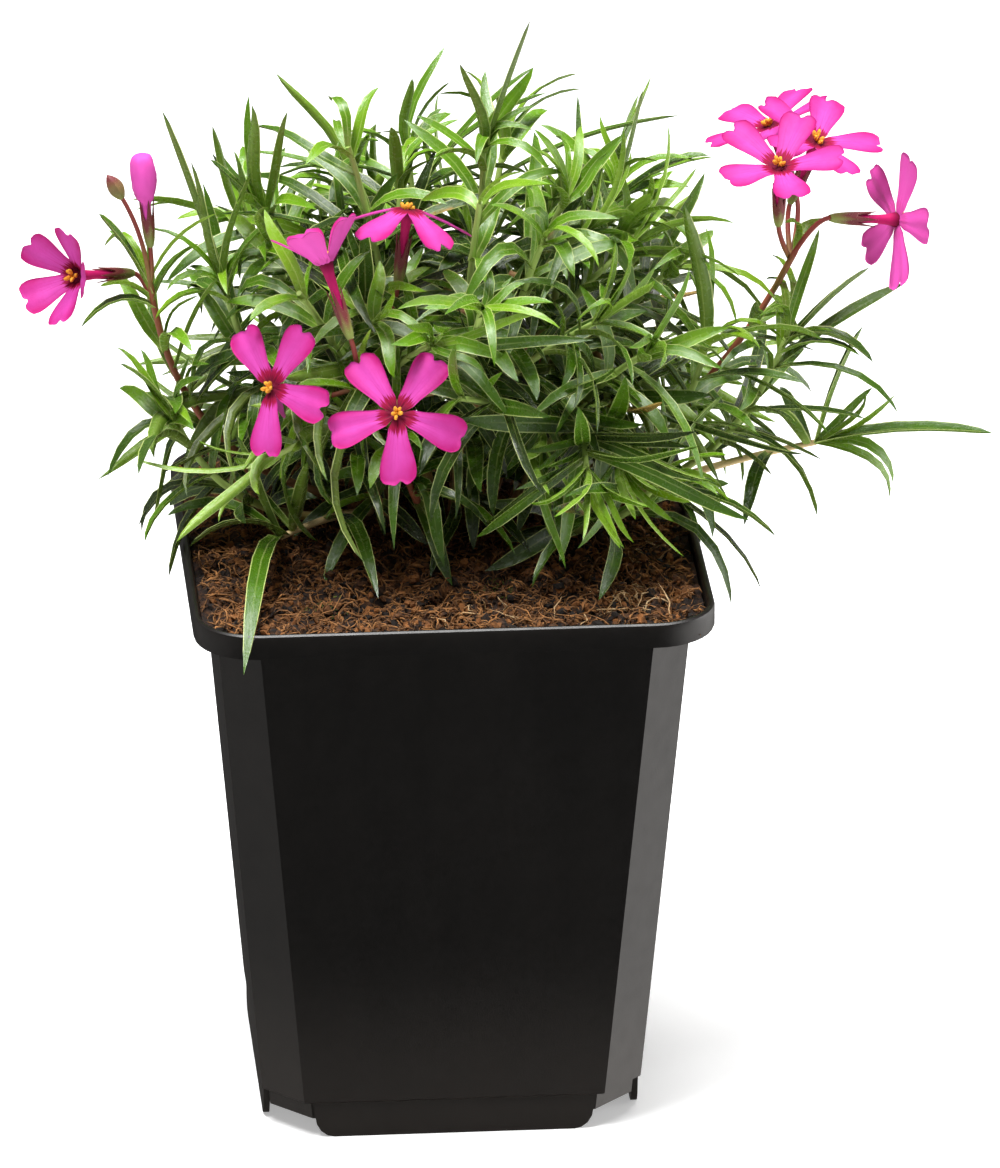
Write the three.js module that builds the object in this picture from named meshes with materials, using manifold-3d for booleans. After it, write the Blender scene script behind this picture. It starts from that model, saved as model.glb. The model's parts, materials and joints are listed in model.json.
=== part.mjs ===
// A creeping phlox in flower, in a square nursery pot.
// Millimetres, +Z up. The origin is on the floor, under the middle of the pot, and the pot's front faces -Y.
import * as THREE from 'three';
import { mergeVertices } from 'three/addons/utils/BufferGeometryUtils.js';
import Module from 'manifold-3d';

// ---- Driving dimensions ----
const RIM_WIDTH = 90;            // outside of the rim
const RIM_CORNER = 11;           // its corner radius
const RIM_DEPTH = 4.5;           // height of the collar around the top
const RIM_WALL = 1.3;            // thickness of the collar
const POT_HEIGHT = 100;
const LEDGE_LEVEL = POT_HEIGHT - RIM_DEPTH + 1.2; // top of the step out from the body to the collar
const BODY_TOP_WIDTH = 81.8;     // outside of the body under the rim
const BODY_FOOT_WIDTH = 66.8;    // and where it ends above the skirt
const BODY_CHAMFER = 7;          // cut across each upright corner
const WALL = 1.2;
const BASE_LEVEL = 6.5;          // underside of the raised base
const BODY_FOOT_LEVEL = 8;       // height at which BODY_FOOT_WIDTH is measured
const DISH_RADIUS = 22;          // the base dips inside this radius
const PAD_RADIUS = 12;           // to a round pad that stands on the floor
const SKIRT_LENGTH = 50;         // four thin feet, one along each side
const SKIRT_THICK = 1.1;
const SKIRT_OUT = 32.4;          // from the pot's axis to a skirt's outer face
const DRAIN_RADIUS = 3;
const DRAIN_PLACE = 21.5;        // x and y of the drain holes
const GAP = 0.3;                 // between pieces that touch
const FLATNESS = 0.01;           // facets that a join splits are one again where they are this flat
const OWN_GAP = 0.05;            // between leaves of one stem, past their roots
const SOIL_LEVEL = 98.1;
const SOIL_MOUND = 1.4;          // the soil is this much higher at the crown
const CROWN = [2, 17];           // middle of the plant on the soil
const CROWN_RADIUS = 16;         // the stems come up inside it
const FOOT_DEPTH = 5;            // of a stem in the soil
const CUSHION = [47, 40, 66];    // half widths and height of the cushion of stem tips
const CUSHION_MIDDLE = [3, 8];
const RULED_STEMS = 18;
const STEM_SPACE = 3;            // least distance between the middles of two stems
const FLOWER_SPACE = 11;         // and between a stem and a flower's throat
const GOLDEN_ANGLE = Math.PI * (3 - Math.sqrt(5));
const PETAL_LENGTH = 12.1;
const TUBE_LENGTH = 12;          // of a flower, from its throat to the bottom of its calyx

const wasm = await Module();
wasm.setup();

// ---- Vectors as plain arrays ----
const add = (a, b, k = 1) => [a[0] + b[0] * k, a[1] + b[1] * k, a[2] + b[2] * k];
const scale = (a, k) => [a[0] * k, a[1] * k, a[2] * k];
const dot = (a, b) => a[0] * b[0] + a[1] * b[1] + a[2] * b[2];
const cross = (a, b) => [a[1] * b[2] - a[2] * b[1], a[2] * b[0] - a[0] * b[2], a[0] * b[1] - a[1] * b[0]];
const unit = (a) => scale(a, 1 / Math.hypot(...a));
const mix = (a, b, t) => a + (b - a) * t;
const UP = [0, 0, 1];

/** A seeded stream of even draws between 0 and 1. */
function randomStream(seed) {
  let state = seed >>> 0;
  return () => {
    state = (state + 0x6d2b79f5) >>> 0;
    let t = Math.imul(state ^ (state >>> 15), 1 | state);
    t = (t + Math.imul(t ^ (t >>> 7), 61 | t)) ^ t;
    return ((t ^ (t >>> 14)) >>> 0) / 4294967296;
  };
}

/** Point at t on the quadratic curve through its three control points. */
const pointOn = ([a, b, c], t) => add(add(scale(a, (1 - t) * (1 - t)), b, 2 * t * (1 - t)), c, t * t);

/** Unit direction of the same curve at t. */
const slopeOn = ([a, b, c], t) => unit(add(scale(add(b, a, -1), 1 - t), add(c, b, -1), t));

// ---- From geometry to solids and back ----

/** A manifold solid from a closed three.js geometry. */
function toSolid(geometry) {
  let bare = geometry.clone();
  bare.deleteAttribute('normal');
  bare.deleteAttribute('uv');
  bare = mergeVertices(bare, 1e-4);
  const mesh = new wasm.Mesh({
    numProp: 3,
    vertProperties: new Float32Array(bare.attributes.position.array),
    triVerts: new Uint32Array(bare.index.array),
  });
  return new wasm.Manifold(mesh);
}

/** The three.js geometry of a manifold solid. */
function toGeometry(solid) {
  const mesh = solid.getMesh();
  const geometry = new THREE.BufferGeometry();
  geometry.setAttribute('position', new THREE.BufferAttribute(new Float32Array(mesh.vertProperties), 3));
  geometry.setIndex(new THREE.BufferAttribute(new Uint32Array(mesh.triVerts), 1));
  geometry.computeVertexNormals();
  return geometry;
}

/** A closed solid through rings of equal count, each counter-clockwise seen from the last; a lone
 *  point closes an end. */
function loft(rings) {
  const points = [];
  const starts = rings.map((ring) => {
    const start = points.length;
    points.push(...ring);
    return start;
  });
  const triangles = [];
  const cap = (start, count, flip) => {
    for (let i = 1; i < count - 1; i += 1) {
      triangles.push(...(flip ? [start, start + i + 1, start + i] : [start, start + i, start + i + 1]));
    }
  };
  cap(starts[0], rings[0].length, true);
  for (let k = 0; k + 1 < rings.length; k += 1) {
    const [low, high] = [starts[k], starts[k + 1]];
    const [n, m] = [rings[k].length, rings[k + 1].length];
    const count = Math.max(n, m);
    for (let i = 0; i < count; i += 1) {
      const j = (i + 1) % count;
      if (n > 1) triangles.push(low + i, low + j, m > 1 ? high + j : high);
      if (m > 1) triangles.push(n > 1 ? low + i : low, high + j, high + i);
    }
  }
  cap(starts[rings.length - 1], rings[rings.length - 1].length, false);
  const geometry = new THREE.BufferGeometry();
  geometry.setAttribute('position', new THREE.Float32BufferAttribute(points.flat(), 3));
  geometry.setIndex(triangles);
  return toSolid(geometry);
}

/** A frame square to a direction: two unit vectors that turn counter-clockwise about it. */
function squareTo(direction) {
  const aside = Math.abs(direction[2]) > 0.95 ? [1, 0, 0] : UP;
  const u = unit(cross(aside, direction));
  return [u, cross(direction, u)];
}

/** A ring of points about a centre, in the plane of u and v. */
function ringAbout(centre, u, v, radii) {
  return radii.map((radius, i) => {
    const angle = (i / radii.length) * 2 * Math.PI;
    return add(add(centre, u, radius * Math.cos(angle)), v, radius * Math.sin(angle));
  });
}

/** The direction square to the plane in which a curve bends. */
function sideOf(curve) {
  const bow = cross(add(curve[1], curve[0], -1), add(curve[2], curve[1], -1));
  return Math.hypot(...bow) > 1e-6 ? unit(bow) : squareTo(slopeOn(curve, 0))[0];
}

/** A four-sided stem along a quadratic curve, with a straight foot if it stands in the soil. Two of its
 *  sides are parallel to the curve's plane, so all its facets are flat. */
function stemSolid({ curve, thick, steps, foot }) {
  const side = sideOf(curve);
  const corners = (centre, tangent) => {
    const aside = unit(add(side, tangent, -dot(side, tangent)));
    const out = cross(tangent, aside);
    return [[1, 1], [-1, 1], [-1, -1], [1, -1]].map(([a, b]) => (
      add(add(centre, aside, (a * thick) / 2), out, (b * thick) / 2)
    ));
  };
  const rings = foot ? [corners(add(curve[0], UP, -FOOT_DEPTH - 0.5), UP), corners(curve[0], UP)] : [];
  for (let k = foot ? 1 : 0; k <= steps; k += 1) {
    const t = k / steps;
    rings.push(corners(pointOn(curve, t), slopeOn(curve, t)));
  }
  rings.push([add(curve[2], slopeOn(curve, 1), thick)]);
  return loft(rings);
}

// ---- Pot and soil ----

/** Square outline with its corners cut off, as a ring of eight points. */
function chamferedSquare(half, chamfer, z) {
  const near = half - chamfer;
  return [
    [half, -near, z], [half, near, z], [near, half, z], [-near, half, z],
    [-half, near, z], [-half, -near, z], [-near, -half, z], [near, -half, z],
  ];
}

/** Half width of the body's outside at a height. */
function bodyHalf(z) {
  const t = (z - BODY_FOOT_LEVEL) / (POT_HEIGHT - RIM_DEPTH - BODY_FOOT_LEVEL);
  return mix(BODY_FOOT_WIDTH, BODY_TOP_WIDTH, t) / 2;
}

/** The tapered body's shape between two heights, drawn in from its outside. */
function bodyShape(low, high, inset) {
  const chamfer = BODY_CHAMFER - inset * (2 - Math.SQRT2);
  return loft([low, high].map((z) => chamferedSquare(bodyHalf(z) - inset, chamfer, z)));
}

/** A plate with the rim's outline between two heights. */
function rimPlate(half, radius, low, high) {
  const shape = new THREE.Shape();
  const near = half - radius;
  shape.absarc(near, -near, radius, -Math.PI / 2, 0);
  shape.absarc(near, near, radius, 0, Math.PI / 2);
  shape.absarc(-near, near, radius, Math.PI / 2, Math.PI);
  shape.absarc(-near, -near, radius, Math.PI, 1.5 * Math.PI);
  const depth = high - low;
  const plate = new THREE.ExtrudeGeometry(shape, { depth, bevelEnabled: false, curveSegments: 4 });
  return toSolid(plate.translate(0, 0, low));
}

/** One skirt foot, with its two lower corners rounded, turned to its side of the pot. */
function skirtFoot(quarter) {
  const half = SKIRT_LENGTH / 2;
  const top = BASE_LEVEL + 0.7;
  const corner = 4;
  const shape = new THREE.Shape();
  shape.moveTo(-half, top);
  shape.lineTo(-half + 0.6, corner);
  shape.quadraticCurveTo(-half + 0.8, 0, -half + corner, 0);
  shape.lineTo(half - corner, 0);
  shape.quadraticCurveTo(half - 0.8, 0, half - 0.6, corner);
  shape.lineTo(half, top);
  const depth = SKIRT_THICK;
  const plate = new THREE.ExtrudeGeometry(shape, { depth, bevelEnabled: false, curveSegments: 3 });
  plate.rotateX(Math.PI / 2);
  plate.translate(0, -SKIRT_OUT + SKIRT_THICK, 0);
  return toSolid(plate.rotateZ(quarter * Math.PI / 2));
}

/** The dip in the base as a solid of revolution, from its pad up to a height. */
function dish(padRadius, padLevel, rimRadius, rimLevel, top) {
  const profile = [[0, padLevel], [padRadius, padLevel], [rimRadius, rimLevel], [rimRadius, top], [0, top]];
  const lathe = new THREE.LatheGeometry(profile.map(([r, z]) => new THREE.Vector2(r, z)), 12);
  return toSolid(lathe.rotateX(Math.PI / 2));
}

function makePot() {
  const half = RIM_WIDTH / 2;
  const collar = rimPlate(half, RIM_CORNER, LEDGE_LEVEL - WALL, POT_HEIGHT)
    .subtract(rimPlate(half - RIM_WALL, RIM_CORNER - RIM_WALL, LEDGE_LEVEL, POT_HEIGHT + 1));
  const inside = bodyShape(BASE_LEVEL + WALL, POT_HEIGHT + 1, WALL)
    .add(dish(PAD_RADIUS - WALL / 2, WALL, DISH_RADIUS - WALL / 2, BASE_LEVEL + WALL, BASE_LEVEL + 2 * WALL));
  let pot = bodyShape(BASE_LEVEL, LEDGE_LEVEL, 0)
    .add(dish(PAD_RADIUS, 0, DISH_RADIUS, BASE_LEVEL, BASE_LEVEL + WALL))
    .add(collar);
  for (let quarter = 0; quarter < 4; quarter += 1) pot = pot.add(skirtFoot(quarter));
  pot = pot.subtract(inside);
  for (const [sx, sy] of [[1, 1], [-1, 1], [-1, -1], [1, -1]]) {
    const drain = new THREE.CylinderGeometry(DRAIN_RADIUS, DRAIN_RADIUS, 6, 10);
    drain.rotateX(Math.PI / 2);
    pot = pot.subtract(toSolid(drain.translate(sx * DRAIN_PLACE, sy * DRAIN_PLACE, BASE_LEVEL)));
  }
  return pot;
}

const SOIL_HALF = RIM_WIDTH / 2 - RIM_WALL - GAP;
const SOIL_CELLS = 11;
const SOIL_FILL_TOP = 85;        // the plain fill ends here, inside the layer that carries the clods
const SOIL_LAYER_FOOT = 80;

/** Height of the soil: a low mound at the crown with clods over it, smaller towards the rim. */
function soilHeight(x, y) {
  const away = ((x - CROWN[0]) ** 2 + (y - CROWN[1]) ** 2) / 900;
  const clods = 1 - 0.75 * (Math.max(Math.abs(x), Math.abs(y)) / SOIL_HALF) ** 4;
  return SOIL_LEVEL + SOIL_MOUND * Math.exp(-away)
    + clods * (0.5 * Math.sin(0.31 * x + 1.1) * Math.cos(0.27 * y)
      + 0.4 * Math.sin(0.83 * x - 0.6 * y + 2) + 0.35 * Math.cos(0.5 * x + 0.9 * y));
}

function makeSoil() {
  const half = SOIL_HALF + 1;
  const cells = SOIL_CELLS;
  const positions = [];
  const triangles = [];
  const row = cells + 1;
  for (const bottom of [false, true]) {
    for (let j = 0; j <= cells; j += 1) {
      for (let i = 0; i <= cells; i += 1) {
        const [x, y] = [mix(-half, half, i / cells), mix(-half, half, j / cells)];
        positions.push(x, y, bottom ? SOIL_LAYER_FOOT : soilHeight(x, y));
      }
    }
  }
  const quad = (a, b, c, d) => triangles.push(a, b, c, a, c, d);
  const under = row * row;
  for (let j = 0; j < cells; j += 1) {
    for (let i = 0; i < cells; i += 1) {
      const a = j * row + i;
      quad(a, a + 1, a + row + 1, a + row);
      quad(under + a, under + a + row, under + a + row + 1, under + a + 1);
    }
  }
  for (let i = 0; i < cells; i += 1) {
    const front = i;
    const back = cells * row + i;
    const left = i * row;
    const right = i * row + cells;
    quad(under + front, under + front + 1, front + 1, front);
    quad(back, back + 1, under + back + 1, under + back);
    quad(left, left + row, under + left + row, under + left);
    quad(under + right, under + right + row, right + row, right);
  }
  const geometry = new THREE.BufferGeometry();
  geometry.setAttribute('position', new THREE.Float32BufferAttribute(positions, 3));
  geometry.setIndex(triangles);
  const topLayer = toSolid(geometry);
  const floor = BASE_LEVEL + WALL + GAP;
  const inset = WALL + GAP;
  const fill = bodyShape(floor, SOIL_FILL_TOP, inset);
  const overLedge = LEDGE_LEVEL + GAP;
  const column = bodyShape(floor, overLedge, inset)
    .add(rimPlate(SOIL_HALF, RIM_CORNER - RIM_WALL - GAP, overLedge, POT_HEIGHT + 2));
  const dip = dish(PAD_RADIUS - 1.2, WALL + GAP, DISH_RADIUS - 1.2, floor, floor + 1);
  return topLayer.intersect(column).add(fill).add(dip);
}

// ---- Leaves ----

// Sections of a blade: place along it, size as a share of the full section. The root lies inside the stem.
const ROOT = [0, 0.32];
const PAST_ROOT = [0.14, 0.55];
const SHORT_BLADE = [[0.45, 1]];
const LONG_BLADE = [[0.3, 1], [0.66, 0.8]];
const BLADE_RISE = 0.25;         // of its edges over its middle
const BLADE_KEEL = 0.65;         // of its underside below the middle

/** A leaf blade: flat above, keeled below, ending in a point. Its flat facets stay flat, because each
 *  section is the one before it at another size, square to the line between them. */
function leafSolid({ curve, across, width, sections }, first = ROOT) {
  const normal = cross(unit(add(pointOn(curve, sections[0][0]), curve[0], -1)), across);
  const rings = [first, ...sections].map(([t, size]) => {
    const centre = pointOn(curve, t);
    const edge = add(centre, normal, BLADE_RISE * size);
    return [
      add(edge, across, (size * width) / 2),
      add(edge, across, (-size * width) / 2),
      add(centre, normal, -BLADE_KEEL * size),
    ];
  });
  return loft([...rings, [curve[2]]]);
}

const SWINGS = [0, 0.3, -0.3, 0.6, -0.6, 1, -1];
const OPENINGS = [0, -0.3, 0.3];
const SHRINKS = [1, 0.72];

/** Every way that a leaf of a pair may be bent, in the order in which they are tried. */
function* bentWays({ root, along, side, turn, length, width, open, arch, droop }) {
  const [u, v] = [side, cross(along, side)];
  for (const shrink of SHRINKS) {
    for (const wider of OPENINGS) {
      for (const swing of SWINGS) {
        const angle = turn + swing;
        const out = add(scale(u, Math.cos(angle)), v, Math.sin(angle));
        const reach = (lean) => add(scale(along, Math.cos(lean)), out, Math.sin(lean));
        const first = reach(open + wider);
        const last = unit(add(reach(open + wider + arch), UP, -droop));
        const middle = add(root, first, (length * shrink) / 2);
        const tip = add(middle, last, (length * shrink) / 2);
        yield { curve: [root, middle, tip], across: cross(along, out), width, sections: SHORT_BLADE };
      }
    }
  }
}

const NUDGES = [
  [0, 0, 0], [0, 2.5, 0], [0, -2.5, 0], [0, 0, 2.5], [2.5, 0, 0], [-2.5, 0, 0], [0, 5, 2], [0, -5, 2],
];

/** The same for a leaf that reaches for a stated tip. */
function* reachingWays({ root, tip, rise, width }) {
  for (const nudge of NUDGES) {
    const end = add(tip, nudge);
    const middle = add(scale(add(root, end), 0.5), UP, rise);
    const across = unit(cross(add(end, root, -1), UP));
    yield { curve: [root, middle, end], across: scale(across, -1), width, sections: LONG_BLADE };
  }
}

/** The leaves of a shoot in opposite pairs, each pair a quarter turn from the last. */
function pairedLeaves(branch, seed) {
  const { curve, leaves } = branch;
  if (!leaves) return [];
  const draw = randomStream(seed);
  const quarter = Math.floor(draw() * 2);
  const found = [];
  for (let k = 0; k < leaves.pairs; k += 1) {
    const f = leaves.pairs > 1 ? k / (leaves.pairs - 1) : 1;
    const t = mix(leaves.from, leaves.upTo ?? 0.95, f);
    for (const half of [0, 1]) {
      found.push({
        branch,
        root: pointOn(curve, t),
        along: slopeOn(curve, t),
        side: sideOf(curve),
        turn: (k + quarter) * (Math.PI / 2) + half * Math.PI + 0.4 * (draw() - 0.5),
        length: mix(leaves.long, leaves.short, f) * (0.85 + 0.3 * draw()),
        width: mix(leaves.wide, leaves.narrow, f) * (0.9 + 0.2 * draw()),
        open: mix(leaves.open, leaves.close, f) + 0.3 * (draw() - 0.5),
        arch: 0.25 + 0.75 * draw(),
        droop: 0.1 + 0.45 * draw() * (1 - 0.5 * f),
        rank: leaves.pairs - 1 - k,
        ways: bentWays,
      });
    }
  }
  return found;
}

/** The leaves of a branch that reach for stated tips. */
function reachingLeaves(branch) {
  return (branch.reaching ?? []).map(([t, tip, rise, width]) => (
    { branch, root: pointOn(branch.curve, t), tip, rise, width, rank: -1, ways: reachingWays }
  ));
}

// ---- Layout of the stems ----

const OLD = { pairs: 4, from: 0.32, long: 26, short: 16, wide: 3.2, narrow: 2.6, open: 1.15, close: 0.4 };
const SIDE = { pairs: 3, from: 0.42, long: 23, short: 15, wide: 3.1, narrow: 2.5, open: 1.05, close: 0.4 };

/** A stem that stands in the soil, from its place on the soil to its tip. */
function standing(x, y, bend, tip, leaves, more = {}) {
  return {
    curve: [[x, y, soilHeight(x, y) + 0.5], bend, tip], thick: 1.7, steps: 4, foot: true, leaves,
    ...more,
  };
}

/** A side shoot or flower stalk that leaves another branch. */
function leaving(parent, t, bend, tip, leaves, more = {}) {
  return { curve: [pointOn(parent.curve, t), bend, tip], thick: 1.5, steps: 2, leaves, ...more };
}

/** Where a flower's calyx begins: behind the throat, along the flower's axis. */
const calyxFoot = (flower) => add(flower.throat, unit(flower.axis), -TUBE_LENGTH - 1.2);

/** A flower's stalk, from a point of a branch into the bottom of its calyx. */
function stalk(parent, t, flower, run = 5) {
  const axis = unit(flower.axis);
  const foot = calyxFoot(flower);
  return leaving(parent, t, add(foot, axis, -run), add(foot, axis, 0.2), null, { thick: 1, steps: 4 });
}

// Each flower's throat, the way it faces, the way its first petal points, how far its petals rise from
// flat, and which petal is folded back, if one is.
const FLOWERS = {
  far_left: { throat: [-62.5, -3, 151], axis: [-0.74, -0.63, 0.23], petal: [0.28, 0.02, 0.96], cup: 0.8 },
  left: {
    throat: [-30.5, -24, 137.5], axis: [-0.58, -0.7, 0.42], petal: [0.73, -0.66, -0.09], cup: 0.18, folded: 3,
  },
  front: { throat: [-9.5, -30.5, 134.5], axis: [-0.1, -0.85, 0.52], petal: [-0.05, -0.52, -0.86], cup: 0.04 },
  left_upper: { throat: [-20.8, -20, 158], axis: [-0.29, 0.33, 0.9], petal: [-0.96, -0.04, -0.29], cup: 0.85 },
  middle: { throat: [-6, -8, 163], axis: [0.14, 0.16, 0.97], petal: [-0.91, 0.41, 0.1], cup: -0.27 },
  right_front: { throat: [57.7, -13, 171], axis: [-0.03, -0.36, 0.93], petal: [0.99, -0.15, -0.03], cup: 0.42 },
  right_back: { throat: [59.5, 20, 166], axis: [-0.34, 0.04, 0.94], petal: [0.6, 0.78, 0.18], cup: 0.33 },
  right_top: { throat: [65.7, 4, 169], axis: [0.3, -0.25, 0.92], petal: [0.96, 0.14, -0.24], cup: 0.28 },
  far_right: { throat: [79.3, 1, 155.5], axis: [0.9, 0.39, -0.2], petal: [-0.29, 0.87, 0.4], cup: 0.1 },
};
const BUD = { throat: [-51, 0, 168], axis: [-0.08, 0, 1], petal: [1, 0, 0] };
const GREEN_BUD = { base: [-55, -2, 165], axis: [-0.5, 0, 0.86] };

/** Stems that carry flowers, each with its own branches. */
function floweringStems() {
  const left = standing(-13, 15, [-46, 2, 112], [-50, 1, 148], { ...OLD, pairs: 5, from: 0.35 }, {
    reaching: [[0.93, [-62, 0, 140], 7, 2.8], [0.97, [-59, 1, 161], 3, 3]],
  });
  const frontLeft = standing(-7, 4, [-15, -8, 112], [-15, -13, 134], { ...SIDE, from: 0.3, close: 0.7 });
  const front = standing(0, 1, [-6, -12, 110], [-8, -13, 122], { ...SIDE, close: 0.8 }, {
    reaching: [[0.7, [0, -23, 103], 8, 2.8], [0.5, [12, -21, 104], 9, 2.8]],
  });
  const middle = standing(-3, 13, [-6, 6, 125], [-11, -4, 143], { ...OLD, pairs: 5, close: 0.6 });
  const rightLeaves = { ...OLD, pairs: 3, from: 0.3, upTo: 0.8, open: 0.8, close: 0.7 };
  const right = standing(15, 17, [44, 4, 112], [62, 1, 150], rightLeaves, { steps: 6 });
  return [
    {
      name: 'flowering_stem_left',
      branches: [left, stalk(left, 0.9, FLOWERS.far_left, 3), stalk(left, 1, BUD, 6),
        leaving(left, 0.98, [-51, -2, 158], GREEN_BUD.base, null, { thick: 0.9, steps: 3 })],
      flowers: ['far_left'],
      bud: BUD,
      greenBud: GREEN_BUD,
    },
    {
      name: 'flowering_stem_front_left',
      branches: [
        frontLeft, stalk(frontLeft, 0.97, FLOWERS.left, 4), stalk(frontLeft, 0.95, FLOWERS.left_upper, 5),
      ],
      flowers: ['left', 'left_upper'],
    },
    {
      name: 'flowering_stem_front',
      branches: [front, stalk(front, 0.97, FLOWERS.front, 3)],
      flowers: ['front'],
    },
    {
      name: 'flowering_stem_middle',
      branches: [middle, stalk(middle, 0.95, FLOWERS.middle, 5)],
      flowers: ['middle'],
    },
    {
      name: 'flowering_stem_right',
      branches: [
        right,
        stalk(right, 0.98, FLOWERS.right_front, 3),
        stalk(right, 0.98, FLOWERS.right_back, 3),
        stalk(right, 0.98, FLOWERS.right_top, 3),
        stalk(right, 0.9, FLOWERS.far_right, 4),
      ],
      flowers: ['right_front', 'right_back', 'right_top', 'far_right'],
    },
  ];
}

/** Leafy stems that are placed one by one: runners, leaning shoots and the tallest tips. */
function placedStems() {
  const runnerRight = standing(33, 14, [46, 10, 107], [66, 2, 114], null, {
    reaching: [
      [1, [97, 0, 116], 3, 4.2], [0.96, [57, -2, 124], 3, 4.2], [1, [71, 1, 137], -2, 3],
      [0.8, [52, -10, 104], 4, 2.8], [0.97, [60, 8, 122], 2, 2.6], [1, [76, 5, 123], -1, 2.4],
    ],
  });
  const runnerFront = standing(-10, 10, [-17, -2, 106], [-28, -5, 102], null, {
    reaching: [
      [1, [-38, -52, 98], 13, 3.2], [0.95, [-44, -12, 103], 8, 2.9], [1, [-48, 0, 106], 7, 2.8],
      [0.9, [-24, -16, 121], 0, 2.8], [1, [-36, -10, 122], -1, 2.8], [0.6, [-12, -33, 103], 10, 2.8],
      [0.9, [-41, 4, 116], 3, 2.8],
    ],
  });
  return [
    { name: 'runner_right', branches: [runnerRight] },
    { name: 'runner_front', branches: [runnerFront] },
    {
      name: 'leafy_stem_tallest',
      branches: [standing(4, 20, [8, 16, 130], [8, 4, 169],
        { ...OLD, pairs: 5, from: 0.5, long: 22, short: 19 },
        { reaching: [[0.98, [15, 2, 194], -1, 2.8], [1, [5, -1, 188], 0, 2.6]] })],
    },
    {
      name: 'leafy_stem_top_right',
      branches: [standing(9, 25, [24, 14, 128], [31, 6, 160], { ...OLD, short: 19, close: 0.45 },
        { reaching: [[1, [36, 4, 180], -1, 2.6], [0.97, [47, 4, 168], 4, 2.6]] })],
    },
    {
      name: 'leafy_stem_right_upper',
      branches: [standing(18, 9, [40, -4, 108], [46, -6, 136], { ...OLD, pairs: 4, short: 18 },
        { reaching: [[0.98, [44, -8, 164], -1, 3.2], [1, [66, -10, 138], 6, 3.2]] })],
    },
    {
      name: 'leafy_stem_right_outer',
      branches: [standing(22, 14, [50, -2, 106], [60, -4, 136], { ...OLD, pairs: 4, from: 0.5, close: 0.55 },
        {
          reaching: [
            [1, [76, -8, 134], 5, 3.2], [0.97, [72, -6, 152], -1, 3.4], [0.9, [80, -2, 146], 0, 2.8],
          ],
        })],
    },
    {
      name: 'leafy_stem_right_low',
      branches: [standing(14, 3, [30, -12, 102], [37, -16, 115], { ...OLD, pairs: 4, long: 23 },
        { reaching: [[0.9, [58, -22, 108], 5, 3], [0.6, [13, -30, 103], 9, 3], [1, [46, -16, 132], 0, 3]] })],
    },
    {
      name: 'leafy_stem_left_tall',
      branches: [standing(-10, 22, [-30, 10, 115], [-37, 2, 146], { ...OLD, short: 22, close: 0.3 },
        {
          reaching: [
            [0.98, [-47, 0, 180], 0, 3.2], [1, [-43, -2, 173], -3, 2.6], [1, [-35, 0, 169], -1, 2.6],
          ],
        })],
    },
    {
      name: 'leafy_stem_left_upper',
      branches: [standing(-5, 25, [-14, 19, 130], [-30, 8, 158], { ...OLD, from: 0.45, short: 20, close: 0.3 },
        {
          reaching: [
            [1, [-33, 1, 180], -1, 2.8], [0.98, [-26, 2, 178], -1, 2.6], [0.93, [-39, 2, 170], 1, 2.6],
          ],
        })],
    },
    {
      name: 'leafy_stem_left_low',
      branches: [standing(-17, 9, [-38, -2, 104], [-46, -4, 124], { ...SIDE, pairs: 3 },
        {
          reaching: [
            [0.95, [-59, -5, 115], 9, 2.6], [0.9, [-50, -6, 106], 11, 2.8], [1, [-54, -5, 137], 1, 2.6],
          ],
        })],
    },
  ];
}

/** Least distance between two stems' middle lines, by samples. */
function apart(a, b) {
  const samples = 28;
  let least = Infinity;
  for (let i = 0; i <= samples; i += 1) {
    for (let j = 0; j <= samples; j += 1) {
      least = Math.min(least, Math.hypot(...add(pointOn(a, i / samples), pointOn(b, j / samples), -1)));
    }
  }
  return least;
}

const SHIFTS = [0, 0.2, -0.2, 0.4, -0.4, 0.6, -0.6];
const SIDE_TURNS = [0.5, -0.5, 0.75, -0.75, 0.3, -0.3];

/** The tip of a shoot in the cushion, at a share of the way out and an angle around. Shoots at the
 *  front keep off the soil, which stays in sight there. */
function cushionTip(out, angle, lift) {
  const away = out ** 0.75;
  const x = CUSHION_MIDDLE[0] + CUSHION[0] * away * Math.cos(angle);
  const y = CUSHION_MIDDLE[1] + CUSHION[1] * away * Math.sin(angle);
  const z = SOIL_LEVEL + 4 + CUSHION[2] * (1 - 0.45 * out ** 2.5) * lift;
  return [x, y, Math.max(z, SOIL_LEVEL + 12 - 0.43 * y)];
}

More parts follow.
